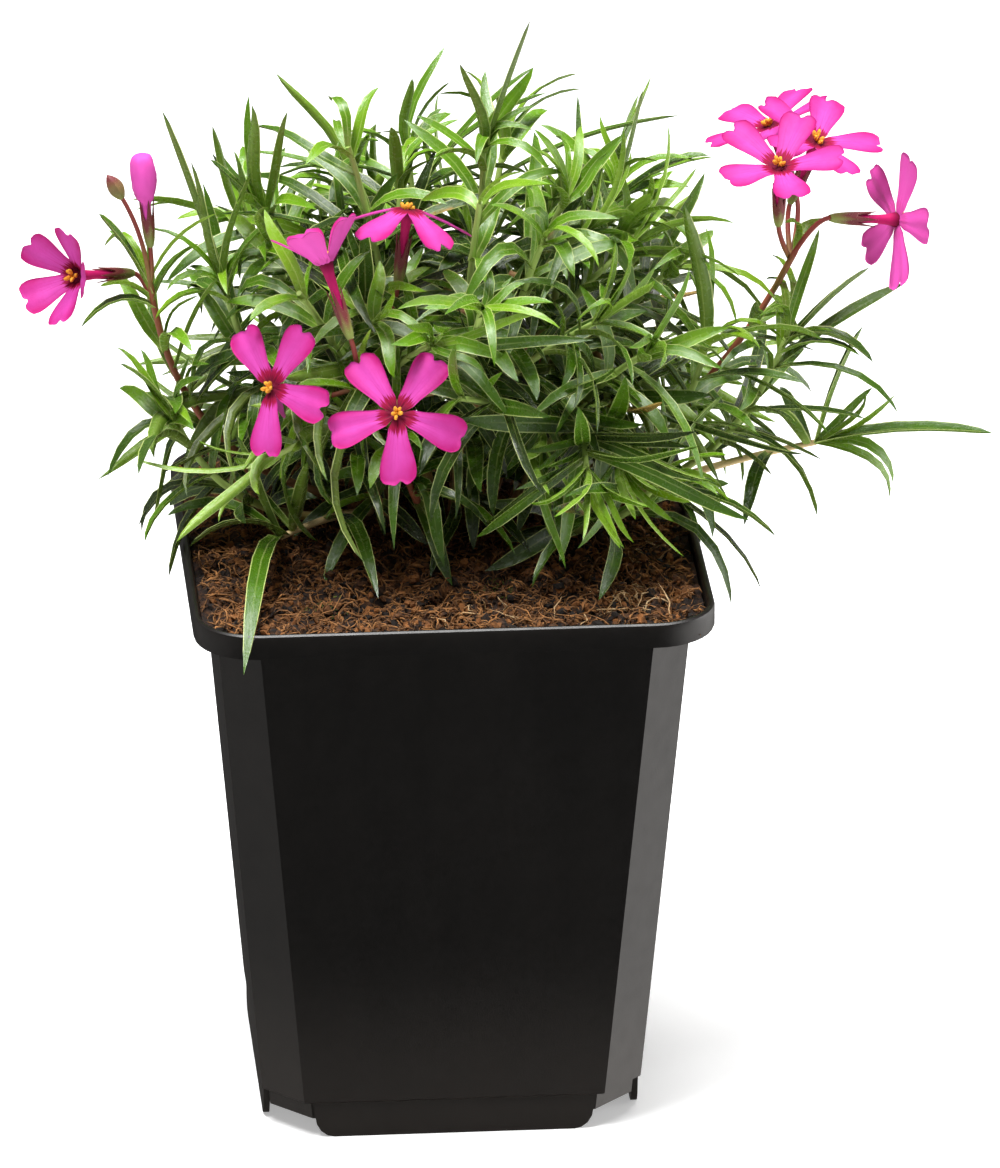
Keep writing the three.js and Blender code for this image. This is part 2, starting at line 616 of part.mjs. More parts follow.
/** The stems that fill the cushion: a golden-angle fan from the crown, each with side shoots. */
function ruledStems(taken) {
  const stems = [];
  const throats = Object.values(FLOWERS).map(({ throat }) => [throat, throat, throat]);
  const clear = (curve, own) => (
    taken.every((other) => own.includes(other) || apart(curve, other) > STEM_SPACE)
    && throats.every((throat) => apart(curve, throat) > FLOWER_SPACE)
  );
  for (let i = 0; i < RULED_STEMS; i += 1) {
    const draw = randomStream(500 + i);
    const out = Math.sqrt((i + 0.5) / RULED_STEMS);
    const lift = 0.88 + 0.2 * draw();
    const main = SHIFTS.map((shift) => {
      const angle = i * GOLDEN_ANGLE + 0.9 + shift;
      const x = CROWN[0] + CROWN_RADIUS * out * Math.cos(angle);
      const y = CROWN[1] + CROWN_RADIUS * out * Math.sin(angle);
      const tip = cushionTip(out, angle, lift);
      const bend = [mix(x, tip[0], 0.45), mix(y, tip[1], 0.45), mix(SOIL_LEVEL + 8, tip[2], 0.62)];
      return { angle, branch: standing(x, y, bend, tip, OLD) };
    }).find(({ branch }) => clear(branch.curve, []));
    if (!main) continue;
    const branches = [main.branch];
    taken.push(main.branch.curve);
    const shoots = out > 0.4 ? 2 : 1;
    for (let s = 0; s < shoots; s += 1) {
      const start = 0.36 + 0.16 * s + 0.06 * draw();
      const shoot = SIDE_TURNS.map((turn) => {
        const angle = main.angle + (turn * (s ? -1 : 1)) / Math.max(out, 0.45);
        const tip = cushionTip(Math.min(1, out + (s ? 0.1 : -0.08)), angle, lift * (s ? 0.45 : 0.8));
        const root = pointOn(main.branch.curve, start);
        const bend = [mix(root[0], tip[0], 0.5), mix(root[1], tip[1], 0.5), mix(root[2], tip[2], 0.5) + 3];
        return leaving(main.branch, start, bend, tip, SIDE);
      }).find(({ curve }) => clear(curve, [main.branch.curve]));
      if (shoot) {
        branches.push(shoot);
        taken.push(shoot.curve);
      }
    }
    stems.push({ name: `leafy_stem_${String(i + 1).padStart(2, '0')}`, branches });
  }
  return stems;
}

// ---- Flowers ----

/** Turns a shape made about +Z, with its origin in the throat and its first petal along +X, to a
 *  flower's place. */
function placer({ throat, axis, petal = [1, 0, 0] }) {
  const direction = unit(axis);
  const u = unit(add(petal, direction, -dot(petal, direction)));
  const v = cross(direction, u);
  return ([x, y, z]) => add(add(add(throat, u, x), v, y), direction, z);
}

const THROAT_RADIUS = 0.95;      // to a corner of the pentagon
const level = (radii, z) => ringAbout([0, 0, z], [1, 0, 0], [0, 1, 0], radii);
const even = (count, radius) => Array(count).fill(radius);

/** A five-sided ring with a flat towards each petal. */
const pentagon = (radius, z) => even(5, radius).map((r, i) => {
  const angle = ((i + 0.5) / 5) * 2 * Math.PI;
  return [r * Math.cos(angle), r * Math.sin(angle), z];
});
const PETAL_ROWS = [[0.2, 0.35], [4.6, 2.05], [9.2, 3.3]];
const PETAL_THICK = 0.7;
const FOLDED_BACK = -1.15;

/** One petal: narrow at the throat, broad and notched at its end. */
function petalSolid(place, turn, cup) {
  const at = (along, aside, lift) => {
    const slope = Math.max(0, along - 1.5) * Math.sin(cup);
    const rise = slope - 0.011 * along * along + 0.02 * aside * aside + lift;
    const out = along * Math.cos(cup);
    return place([
      out * Math.cos(turn) - aside * Math.sin(turn),
      out * Math.sin(turn) + aside * Math.cos(turn),
      rise,
    ]);
  };
  const faces = [0, PETAL_THICK].map((lift) => [
    ...PETAL_ROWS.flatMap(([along, half]) => [at(along, -half, lift), at(along, half, lift)]),
    at(PETAL_LENGTH, -2.2, lift), at(PETAL_LENGTH - 1, 0, lift), at(PETAL_LENGTH, 2.2, lift),
  ]);
  const count = faces[0].length;
  const upper = [[0, 2, 3], [0, 3, 1], [2, 4, 5], [2, 5, 3], [4, 6, 7], [4, 7, 5], [5, 7, 8]];
  const edge = [0, 2, 4, 6, 7, 8, 5, 3, 1];
  const triangles = [];
  for (const [a, b, c] of upper) {
    triangles.push(a + count, b + count, c + count, a, c, b);
  }
  edge.forEach((a, i) => {
    const b = edge[(i + 1) % edge.length];
    triangles.push(a, b, b + count, a, b + count, a + count);
  });
  const geometry = new THREE.BufferGeometry();
  geometry.setAttribute('position', new THREE.Float32BufferAttribute(faces.flat(2), 3));
  geometry.setIndex(triangles);
  return toSolid(geometry);
}

function corollaSolid(flower) {
  const place = placer(flower);
  const top = 0.5 + 0.8 * Math.max(0, Math.sin(flower.cup));
  const rings = [[0.85, -TUBE_LENGTH], [0.95, -4], [1.5, top]];
  const tube = rings.map(([r, z]) => pentagon(r, z).map(place));
  let corolla = loft(tube);
  for (let k = 0; k < 5; k += 1) {
    const cup = k === flower.folded ? FOLDED_BACK : flower.cup;
    corolla = corolla.add(petalSolid(place, (k / 5) * 2 * Math.PI, cup));
  }
  return corolla.subtract(loft([-2.6, 4].map((z) => pentagon(THROAT_RADIUS, z).map(place))));
}

/** Five anthers round the style: a lobed head on a neck that stands in the throat. */
function antherSolid(flower) {
  const place = placer(flower);
  const lift = 1.4 * Math.max(0, Math.sin(flower.cup));
  const lobes = Array.from({ length: 10 }, (_, i) => (i % 2 ? 0.6 : 1.25));
  return loft([
    [place([0, 0, -2.3])],
    level(even(10, 0.42), 0.5).map(place),
    level(lobes, lift + 1.3).map(place),
    [place([0, 0, lift + 2.1])],
  ]);
}

/** A calyx cup with five pointed teeth, with a hole in which the flower's tube stands. */
function calyxSolid(flower) {
  const place = placer(flower);
  const crown = (tip, valley) => Array.from({ length: 10 }, (_, i) => (i % 2 ? valley : tip));
  const ring = (radii, heights) => radii.map((r, i) => {
    const angle = (i / 10) * 2 * Math.PI;
    return place([r * Math.cos(angle), r * Math.sin(angle), heights[i]]);
  });
  return loft([
    ring(even(10, 0.95), even(10, -TUBE_LENGTH - 1.2)),
    ring(crown(1.95, 1.75), crown(-4.6, -8)),
    ring(crown(1.55, 1.3), crown(-4.7, -8)),
    ring(even(10, 1.1), even(10, -TUBE_LENGTH - GAP)),
  ]);
}

/** A closed flower: furled petals on a short tube. */
function budSolid(flower) {
  const place = placer(flower);
  const rings = [[0.8, -TUBE_LENGTH], [0.9, -5.2], [1.8, -3.8], [2.3, -1], [2, 2.6], [1.5, 3.8]];
  return loft([...rings.map(([r, z]) => level(even(6, r), z).map(place)), [place([0, 0, 4])]]);
}

function greenBudSolid({ base, axis }) {
  const place = placer({ throat: base, axis });
  const rings = [[0.6, -0.4], [1.3, 1.6], [0.9, 3.6]];
  return loft([...rings.map(([r, z]) => level(even(6, r), z).map(place)), [place([0, 0, 4.6])]]);
}

// ---- Putting the plant together ----

const material = (color, roughness) => new THREE.MeshStandardMaterial({ color, roughness, metalness: 0 });
const MATERIALS = {
  pot: material(0x1b1917, 0.45),
  soil: material(0x4a2f1f, 1),
  leaf: material(0x5c8f31, 0.6),
  petal: material(0xe63bb4, 0.65),
  anther: material(0xe8a21c, 0.7),
};

/** Solids already in place, with the node that each belongs to. */
class Bed {
  constructor() {
    this.placed = [];
  }

  /** Adds a solid; beyond is the part of it that its own node's leaves keep off too. */
  put(node, solid, branch = null, beyond = solid) {
    this.placed.push({ node, solid, branch, beyond, box: solid.boundingBox() });
  }

  /** True if a leaf keeps its gap to the other nodes, and past its root to its own. */
  isClear({ node, branch }, solid, beyond) {
    const box = solid.boundingBox();
    return this.placed.every((other) => {
      if (other.branch && other.branch === branch && other.beyond === other.solid) return true;
      const near = [0, 1, 2].every((axis) => (
        box.min[axis] - GAP < other.box.max[axis] && other.box.min[axis] - GAP < box.max[axis]
      ));
      if (!near) return true;
      return other.node === node
        ? beyond.minGap(other.beyond, OWN_GAP) >= OWN_GAP
        : solid.minGap(other.solid, GAP) >= GAP;
    });
  }
}

const bed = new Bed();
const stems = [...floweringStems(), ...placedStems()];
stems.push(...ruledStems(stems.flatMap(({ branches }) => branches.map(({ curve }) => curve))));

const solids = new Map();
const put = (node, solid, branch, beyond) => {
  bed.put(node, solid, branch, beyond);
  solids.set(node, [...(solids.get(node) ?? []), solid]);
};

put('pot', makePot());
const soil = makeSoil();
bed.put('soil', soil);
for (const stem of stems) {
  stem.branches.forEach((branch) => put(stem.name, stemSolid(branch), branch));
  for (const name of stem.flowers ?? []) put(stem.name, calyxSolid(FLOWERS[name]));
  if (stem.bud) put(stem.name, calyxSolid(stem.bud));
  if (stem.greenBud) put(stem.name, greenBudSolid(stem.greenBud));
}
for (const [name, flower] of Object.entries(FLOWERS)) {
  put(`corolla_${name}`, corollaSolid(flower));
  put(`anthers_${name}`, antherSolid(flower));
}
put('pink_bud', budSolid(BUD));

const wanted = stems.flatMap((stem, s) => stem.branches.flatMap((branch, b) => [
  ...reachingLeaves(branch), ...pairedLeaves(branch, 1000 * (s + 1) + b),
].map((leaf) => ({ ...leaf, node: stem.name }))));
wanted.sort((a, b) => a.rank - b.rank);
for (const leaf of wanted) {
  let found = null;
  for (const way of leaf.ways(leaf)) {
    const solid = leafSolid(way);
    const beyond = leafSolid(way, PAST_ROOT);
    if (bed.isClear(leaf, solid, beyond)) {
      found = [solid, leaf.branch, beyond];
      break;
    }
  }
  if (found) put(leaf.node, ...found);
}

/** The soil with a plain hole round the foot of each stem. */
function soilWithHoles() {
  let cut = soil;
  for (const { branches } of stems) {
    const { curve, thick } = branches[0];
    const [x, y, z] = curve[0];
    const hole = new THREE.CylinderGeometry(thick + 0.25, thick + 0.25, FOOT_DEPTH + 10, 5);
    hole.rotateX(Math.PI / 2);
    hole.translate(x, y, z - 0.5 - FOOT_DEPTH - GAP + (FOOT_DEPTH + 10) / 2);
    cut = cut.subtract(toSolid(hole));
  }
  return cut;
}
solids.set('soil', [soilWithHoles()]);

const kindOf = (name) => {
  if (name.startsWith('corolla') || name === 'pink_bud') return 'petal';
  if (name.startsWith('anthers')) return 'anther';
  return name in MATERIALS ? name : 'leaf';
};

const group = new THREE.Group();
for (const [name, pieces] of solids) {
  const whole = pieces.reduce((sum, piece) => sum.add(piece));
  const geometry = toGeometry(whole.asOriginal().simplify(FLATNESS));
  const mesh = new THREE.Mesh(geometry, MATERIALS[kindOf(name)].clone());
  mesh.name = name;
  group.add(mesh);
}

export default group;
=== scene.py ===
"""A creeping phlox in flower in a square nursery pot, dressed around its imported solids.

The solids give the pot, each stem and each flower its place. This script repeats the rule by which the
stems and leaves were laid out, grows a finer leaf over each leaf of the solids, and adds what is too
small for them: young leaves in the axils, hairs, anthers, peat fibres, rootlets and moss.
Lengths are millimetres until a mesh is made, and the axes are those of the solids.
"""

from __future__ import annotations

import json
import logging
from collections.abc import Callable, Iterator, Sequence
from dataclasses import dataclass, field, replace
from enum import Enum
from math import copysign, cos, exp, hypot, pi, radians, sin, sqrt, tau

import bpy
import numpy as np
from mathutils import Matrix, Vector, kdtree, noise

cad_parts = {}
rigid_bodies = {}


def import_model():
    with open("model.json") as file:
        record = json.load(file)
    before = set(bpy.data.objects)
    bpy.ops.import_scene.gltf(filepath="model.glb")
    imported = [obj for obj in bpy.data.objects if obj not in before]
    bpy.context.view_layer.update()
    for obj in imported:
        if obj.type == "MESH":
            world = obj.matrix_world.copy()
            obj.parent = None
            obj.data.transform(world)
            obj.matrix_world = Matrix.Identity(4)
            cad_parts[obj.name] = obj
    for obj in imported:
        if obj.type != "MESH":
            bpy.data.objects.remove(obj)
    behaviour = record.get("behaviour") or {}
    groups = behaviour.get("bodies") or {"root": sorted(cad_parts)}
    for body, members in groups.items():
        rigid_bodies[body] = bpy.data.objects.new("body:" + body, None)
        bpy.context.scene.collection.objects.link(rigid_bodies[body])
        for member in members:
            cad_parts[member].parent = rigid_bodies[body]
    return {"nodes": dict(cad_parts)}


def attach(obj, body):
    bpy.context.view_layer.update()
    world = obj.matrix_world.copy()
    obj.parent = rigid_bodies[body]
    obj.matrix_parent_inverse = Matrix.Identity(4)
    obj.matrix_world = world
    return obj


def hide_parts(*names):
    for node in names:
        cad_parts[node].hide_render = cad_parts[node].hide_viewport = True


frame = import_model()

log = logging.getLogger("phlox")

Point = tuple[float, float, float]
Curve = tuple[Point, Point, Point]
Pair = tuple[float, float]
Colour = tuple[float, float, float, float]
Faces = list[tuple[int, ...]]
Object = bpy.types.Object
Mesh = bpy.types.Mesh
Material = bpy.types.Material
Socket = bpy.types.NodeSocket

MM = 0.001
UP: Point = (0.0, 0.0, 1.0)
TOWARDS_VIEWER: Point = (-0.074, -0.922, 0.380)


# ---- Plain vectors, in full precision so that the layout repeats that of the solids ----


def plus(a: Sequence[float], b: Sequence[float], k: float = 1.0) -> Point:
    """Returns a + k * b."""
    return (a[0] + b[0] * k, a[1] + b[1] * k, a[2] + b[2] * k)


def times(a: Sequence[float], k: float) -> Point:
    """Returns a * k."""
    return (a[0] * k, a[1] * k, a[2] * k)


def dot(a: Sequence[float], b: Sequence[float]) -> float:
    """Returns the dot product."""
    return a[0] * b[0] + a[1] * b[1] + a[2] * b[2]


def cross(a: Sequence[float], b: Sequence[float]) -> Point:
    """Returns the cross product."""
    return (a[1] * b[2] - a[2] * b[1], a[2] * b[0] - a[0] * b[2], a[0] * b[1] - a[1] * b[0])


def unit(a: Sequence[float]) -> Point:
    """Returns a at length 1."""
    return times(a, 1 / sqrt(dot(a, a)))


def mix(a: float, b: float, t: float) -> float:
    """Returns the value at share t of the way from a to b."""
    return a + (b - a) * t


def polar(radius: float, angle: float) -> Pair:
    """Returns the place at a radius and an angle."""
    return radius * cos(angle), radius * sin(angle)


def turned(x: float, y: float, quarters: int) -> Pair:
    """Returns a place turned by some right angles."""
    for _ in range(quarters):
        x, y = -y, x
    return x, y


def point_on(curve: Curve, t: float) -> Point:
    """Returns the point at t on a quadratic curve."""
    a, b, c = curve
    return plus(plus(times(a, (1 - t) * (1 - t)), b, 2 * t * (1 - t)), c, t * t)


def slope_on(curve: Curve, t: float) -> Point:
    """Returns the unit direction at t of a quadratic curve."""
    a, b, c = curve
    return unit(plus(times(plus(b, a, -1), 1 - t), plus(c, b, -1), t))


def side_of(curve: Curve) -> Point:
    """Returns the direction square to the plane in which a curve bends."""
    bow = cross(plus(curve[1], curve[0], -1), plus(curve[2], curve[1], -1))
    if sqrt(dot(bow, bow)) > 1e-6:
        return unit(bow)
    along = slope_on(curve, 0)
    return unit(cross((1.0, 0.0, 0.0) if abs(along[2]) > 0.95 else UP, along))


def through(knots: Sequence[Pair], at: float) -> float:
    """Returns the value at a place on a smooth line through knots.

    Args:
        knots: places, rising, each with its value.
        at: the place.

    Returns:
        The value, eased between the two nearest knots with their neighbours' slopes.
    """
    at = min(max(at, knots[0][0]), knots[-1][0])
    i = max(k for k in range(len(knots) - 1) if knots[k][0] <= at or k == 0)
    (x0, y0), (x1, y1) = knots[i], knots[i + 1]

    def slope(k: int) -> float:
        """Returns the slope at a knot."""
        lo, hi = max(k - 1, 0), min(k + 1, len(knots) - 1)
        return (knots[hi][1] - knots[lo][1]) / (knots[hi][0] - knots[lo][0])

    span = x1 - x0
    t = (at - x0) / span
    m0, m1 = slope(i) * span, slope(i + 1) * span
    return (
        (2 * t**3 - 3 * t**2 + 1) * y0
        + (t**3 - 2 * t**2 + t) * m0
        + (3 * t**2 - 2 * t**3) * y1
        + (t**3 - t**2) * m1
    )


class Draws:
    """A seeded stream of even draws between 0 and 1, the one that the layout uses."""

    def __init__(self, seed: int) -> None:
        """Starts the stream from a whole number."""
        self.state = seed & 0xFFFFFFFF

    def __call__(self) -> float:
        """Returns the next draw."""
        full = 0xFFFFFFFF
        self.state = (self.state + 0x6D2B79F5) & full
        t = ((self.state ^ (self.state >> 15)) * (1 | self.state)) & full
        t = ((t + ((t ^ (t >> 7)) * (61 | t))) & full) ^ t
        return ((t ^ (t >> 14)) & full) / 4294967296

    def between(self, low: float, high: float) -> float:
        """Returns a draw between two values."""
        return low + (high - low) * self()


# ---- The layout of the solids, repeated ----


@dataclass(frozen=True)
class PotSizes:
    """Sizes of the pot and of the soil in it."""

    rim_half: float = 45.0
    rim_corner: float = 11.0
    rim_depth: float = 4.5
    rim_wall: float = 1.3
    height: float = 100.0
    ledge: float = 96.7
    body_top_half: float = 40.9
    body_foot_half: float = 33.4
    body_foot_level: float = 8.0
    chamfer: float = 7.0
    wall: float = 1.2
    base_level: float = 6.5
    dish_radius: float = 22.0
    pad_radius: float = 12.0
    skirt_length: float = 50.0
    skirt_thick: float = 1.1
    skirt_out: float = 32.9
    drain_radius: float = 3.0
    drain_place: float = 21.5
    soil_half: float = 43.4
    soil_level: float = 98.1
    soil_mound: float = 1.4

    def body_half(self, z: float) -> float:
        """Returns the half width of the body's outside at a height."""
        t = (z - self.body_foot_level) / (self.height - self.rim_depth - self.body_foot_level)
        return mix(self.body_foot_half, self.body_top_half, t)


POT = PotSizes()
CROWN = (2.0, 17.0)
CROWN_RADIUS = 16.0
CUSHION = (47.0, 40.0, 66.0)
CUSHION_MIDDLE = (3.0, 8.0)
RULED_STEMS = 18
RULED_SEED = 500
PAIR_SEED = 1000
LOOK_SEED = 90000
YOUNG_SEED = 70000
STEM_SPACE = 3.0
FLOWER_SPACE = 11.0
FOOT_DEPTH = 5.0
TUBE_LENGTH = 12.0
PETAL_LENGTH = 12.1
GOLDEN_ANGLE = pi * (3 - sqrt(5))


def soil_height(x: float, y: float) -> float:
    """Finds the height of the soil: a low mound at the crown with clods, smaller at the rim.

    Args:
        x: the place across.
        y: the place in depth.

    Returns:
        The height.
    """
    away = ((x - CROWN[0]) ** 2 + (y - CROWN[1]) ** 2) / 900
    clods = 1 - 0.75 * (max(abs(x), abs(y)) / POT.soil_half) ** 4
    return (
        POT.soil_level
        + POT.soil_mound * exp(-away)
        + clods
        * (
            0.5 * sin(0.31 * x + 1.1) * cos(0.27 * y)
            + 0.4 * sin(0.83 * x - 0.6 * y + 2)
            + 0.35 * cos(0.5 * x + 0.9 * y)
        )
    )


@dataclass(frozen=True)
class Foliage:
    """How the opposite pairs of leaves on a shoot are sized and spread."""

    pairs: int
    start: float
    long: float
    short: float
    wide: float
    narrow: float
    open: float
    close: float
    end: float = 0.95


OLD = Foliage(4, 0.32, 26, 16, 3.2, 2.6, 1.15, 0.4)
SIDE = Foliage(3, 0.42, 23, 15, 3.1, 2.5, 1.05, 0.4)


@dataclass(frozen=True)
class Flower:
    """A flower: its throat, the way it faces, its first petal's way, and how its petals stand."""

    throat: Point
    axis: Point
    petal: Point = (1.0, 0.0, 0.0)
    cup: float = 0.0
    folded: int | None = None

    def place(self, x: float, y: float, z: float) -> Point:
        """Returns a point given from the throat, with z along the flower's axis."""
        direction = unit(self.axis)
        u = unit(plus(self.petal, direction, -dot(self.petal, direction)))
        v = cross(direction, u)
        return plus(plus(plus(self.throat, u, x), v, y), direction, z)

    def foot(self) -> Point:
        """Returns the place where the calyx begins."""
        return plus(self.throat, unit(self.axis), -TUBE_LENGTH - 1.2)


FLOWERS: dict[str, Flower] = {
    "far_left": Flower((-62.5, -3, 151), (-0.74, -0.63, 0.23), (0.28, 0.02, 0.96), 0.8),
    "left": Flower((-30.5, -24, 137.5), (-0.58, -0.7, 0.42), (0.73, -0.66, -0.09), 0.18, 3),
    "front": Flower((-9.5, -30.5, 134.5), (-0.1, -0.85, 0.52), (-0.05, -0.52, -0.86), 0.04),
    "left_upper": Flower((-20.8, -20, 158), (-0.29, 0.33, 0.9), (-0.96, -0.04, -0.29), 0.85),
    "middle": Flower((-6, -8, 163), (0.14, 0.16, 0.97), (-0.91, 0.41, 0.1), -0.27),
    "right_front": Flower((57.7, -13, 171), (-0.03, -0.36, 0.93), (0.99, -0.15, -0.03), 0.42),
    "right_back": Flower((59.5, 20, 166), (-0.34, 0.04, 0.94), (0.6, 0.78, 0.18), 0.33),
    "right_top": Flower((65.7, 4, 169), (0.3, -0.25, 0.92), (0.96, 0.14, -0.24), 0.28),
    "far_right": Flower((79.3, 1, 155.5), (0.9, 0.39, -0.2), (-0.29, 0.87, 0.4), 0.1),
}
BUD = Flower((-51, 0, 168), (-0.08, 0, 1))
LEAF_SPACE = ((-70, -50, 90), (95, 57, 179))
GREEN_BUD = Flower((-55, -2, 165), (-0.5, 0, 0.86))


@dataclass(frozen=True)
class Reach:
    """A leaf that reaches for a stated tip."""

    t: float
    tip: Point
    rise: float
    width: float


@dataclass(frozen=True)
class Branch:
    """A stem, side shoot or flower stalk."""

    curve: Curve
    thick: float
    foliage: Foliage | None
    reaching: tuple[Reach, ...] = ()
    foot: bool = False
    stalk: bool = False


@dataclass(frozen=True)
class Stem:
    """One node of the solids: a stem with all that grows on it."""

    name: str
    branches: tuple[Branch, ...]
    flowers: tuple[str, ...] = ()
    buds: bool = False


def standing(
    x: float, y: float, bend: Point, tip: Point, foliage: Foliage | None, *reaching: tuple
) -> Branch:
    """Returns a stem that stands in the soil."""
    curve = ((x, y, soil_height(x, y) + 0.5), bend, tip)
    return Branch(curve, 1.7, foliage, tuple(Reach(*r) for r in reaching), foot=True)


def leaving(
    parent: Branch, t: float, bend: Point, tip: Point, foliage: Foliage | None = None
) -> Branch:
    """Returns a side shoot that leaves another branch."""
    return Branch((point_on(parent.curve, t), bend, tip), 1.5, foliage)


def stalk(parent: Branch, t: float, flower: Flower, run: float) -> Branch:
    """Makes a flower's stalk.

    Args:
        parent: the branch that it leaves.
        t: the place on that branch.
        flower: the flower, into the bottom of whose calyx it runs.
        run: how far before its end it already lies in the flower's axis.

    Returns:
        The stalk.
    """
    axis, foot = unit(flower.axis), flower.foot()
    curve = (point_on(parent.curve, t), plus(foot, axis, -run), plus(foot, axis, 0.2))
    return Branch(curve, 1.0, None, stalk=True)


def carrying(name: str, branch: Branch, **flowers: Pair) -> Stem:
    """Makes a flowering stem.

    Args:
        name: the end of its name.
        branch: the stem itself.
        flowers: for each flower, where its stalk leaves the stem and how far that runs straight.

    Returns:
        The stem with its stalks.
    """
    stalks = (stalk(branch, t, FLOWERS[flower], run) for flower, (t, run) in flowers.items())
    return Stem(f"flowering_stem_{name}", (branch, *stalks), tuple(flowers))


def flowering_stems() -> list[Stem]:
    """Returns the stems that carry flowers."""
    left = standing(
        -13, 15, (-46, 2, 112), (-50, 1, 148), replace(OLD, pairs=5, start=0.35),
        (0.93, (-62, 0, 140), 7, 2.8), (0.97, (-59, 1, 161), 3, 3),
    )
    front_left = standing(-7, 4, (-15, -8, 112), (-15, -13, 134), replace(SIDE, start=0.3, close=0.7))
    front = standing(
        0, 1, (-6, -12, 110), (-8, -13, 122), replace(SIDE, close=0.8),
        (0.7, (0, -23, 103), 8, 2.8), (0.5, (12, -21, 104), 9, 2.8),
    )
    middle = standing(-3, 13, (-6, 6, 125), (-11, -4, 143), replace(OLD, pairs=5, close=0.6))
    right = standing(
        15, 17, (44, 4, 112), (62, 1, 150),
        replace(OLD, pairs=3, start=0.3, end=0.8, open=0.8, close=0.7),
    )
    green = leaving(left, 0.98, (-51, -2, 158), GREEN_BUD.throat)
    budding = (stalk(left, 1, BUD, 6), replace(green, thick=0.9, stalk=True))
    first = carrying("left", left, far_left=(0.9, 3))
    return [
        replace(first, branches=(*first.branches, *budding), buds=True),
        carrying("front_left", front_left, left=(0.97, 4), left_upper=(0.95, 5)),
        carrying("front", front, front=(0.97, 3)),
        carrying("middle", middle, middle=(0.95, 5)),
        carrying(
            "right", right, right_front=(0.98, 3), right_back=(0.98, 3), right_top=(0.98, 3),
            far_right=(0.9, 4),
        ),
    ]


def placed_stems() -> list[Stem]:
    """Returns the leafy stems that are placed one by one."""
    placed = {
        "runner_right": standing(
            33, 14, (46, 10, 107), (66, 2, 114), None,
            (1, (97, 0, 116), 3, 4.2), (0.96, (57, -2, 124), 3, 4.2), (1, (71, 1, 137), -2, 3),
            (0.8, (52, -10, 104), 4, 2.8), (0.97, (60, 8, 122), 2, 2.6), (1, (76, 5, 123), -1, 2.4),
        ),
        "runner_front": standing(
            -10, 10, (-17, -2, 106), (-28, -5, 102), None,
            (1, (-38, -52, 98), 13, 3.2), (0.95, (-44, -12, 103), 8, 2.9),
            (1, (-48, 0, 106), 7, 2.8), (0.9, (-24, -16, 121), 0, 2.8),
            (1, (-36, -10, 122), -1, 2.8), (0.6, (-12, -33, 103), 10, 2.8),
            (0.9, (-41, 4, 116), 3, 2.8),
        ),
        "leafy_stem_tallest": standing(
            4, 20, (8, 16, 130), (8, 4, 169), replace(OLD, pairs=5, start=0.5, long=22, short=19),
            (0.98, (15, 2, 194), -1, 2.8), (1, (5, -1, 188), 0, 2.6),
        ),
        "leafy_stem_top_right": standing(
            9, 25, (24, 14, 128), (31, 6, 160), replace(OLD, short=19, close=0.45),
            (1, (36, 4, 180), -1, 2.6), (0.97, (47, 4, 168), 4, 2.6),
        ),
        "leafy_stem_right_upper": standing(
            18, 9, (40, -4, 108), (46, -6, 136), replace(OLD, short=18),
            (0.98, (44, -8, 164), -1, 3.2), (1, (66, -10, 138), 6, 3.2),
        ),
        "leafy_stem_right_outer": standing(
            22, 14, (50, -2, 106), (60, -4, 136), replace(OLD, start=0.5, close=0.55),
            (1, (76, -8, 134), 5, 3.2), (0.97, (72, -6, 152), -1, 3.4), (0.9, (80, -2, 146), 0, 2.8),
        ),
        "leafy_stem_right_low": standing(
            14, 3, (30, -12, 102), (37, -16, 115), replace(OLD, long=23),
            (0.9, (58, -22, 108), 5, 3), (0.6, (13, -30, 103), 9, 3), (1, (46, -16, 132), 0, 3),
        ),
        "leafy_stem_left_tall": standing(
            -10, 22, (-30, 10, 115), (-37, 2, 146), replace(OLD, short=22, close=0.3),
            (0.98, (-47, 0, 180), 0, 3.2), (1, (-43, -2, 173), -3, 2.6), (1, (-35, 0, 169), -1, 2.6),
        ),
        "leafy_stem_left_upper": standing(
            -5, 25, (-14, 19, 130), (-30, 8, 158), replace(OLD, start=0.45, short=20, close=0.3),
            (1, (-33, 1, 180), -1, 2.8), (0.98, (-26, 2, 178), -1, 2.6), (0.93, (-39, 2, 170), 1, 2.6),
        ),
        "leafy_stem_left_low": standing(
            -17, 9, (-38, -2, 104), (-46, -4, 124), SIDE,
            (0.95, (-59, -5, 115), 9, 2.6), (0.9, (-50, -6, 106), 11, 2.8),
            (1, (-54, -5, 137), 1, 2.6),
        ),
    }
    return [Stem(name, (branch,)) for name, branch in placed.items()]


def samples_of(curve: Curve) -> np.ndarray:
    """Returns 29 points along a curve, one a row."""
    return np.array([point_on(curve, i / 28) for i in range(29)])


def apart(a: np.ndarray, b: np.ndarray) -> float:
    """Returns the least distance between two rows of samples."""
    return float(np.sqrt(((a[:, None, :] - b[None, :, :]) ** 2).sum(axis=2)).min())


def cushion_tip(out: float, angle: float, lift: float) -> Point:
    """Finds where a shoot of the cushion ends.

    Args:
        out: its share of the way from the middle to the edge.
        angle: the way it goes.
        lift: how high it stands, as a share of the cushion's height there.

    Returns:
        Its tip.
    """
    away = out**0.75
    x = CUSHION_MIDDLE[0] + CUSHION[0] * away * cos(angle)
    y = CUSHION_MIDDLE[1] + CUSHION[1] * away * sin(angle)
    z = POT.soil_level + 4 + CUSHION[2] * (1 - 0.45 * out**2.5) * lift
    return (x, y, max(z, POT.soil_level + 12 - 0.43 * y))


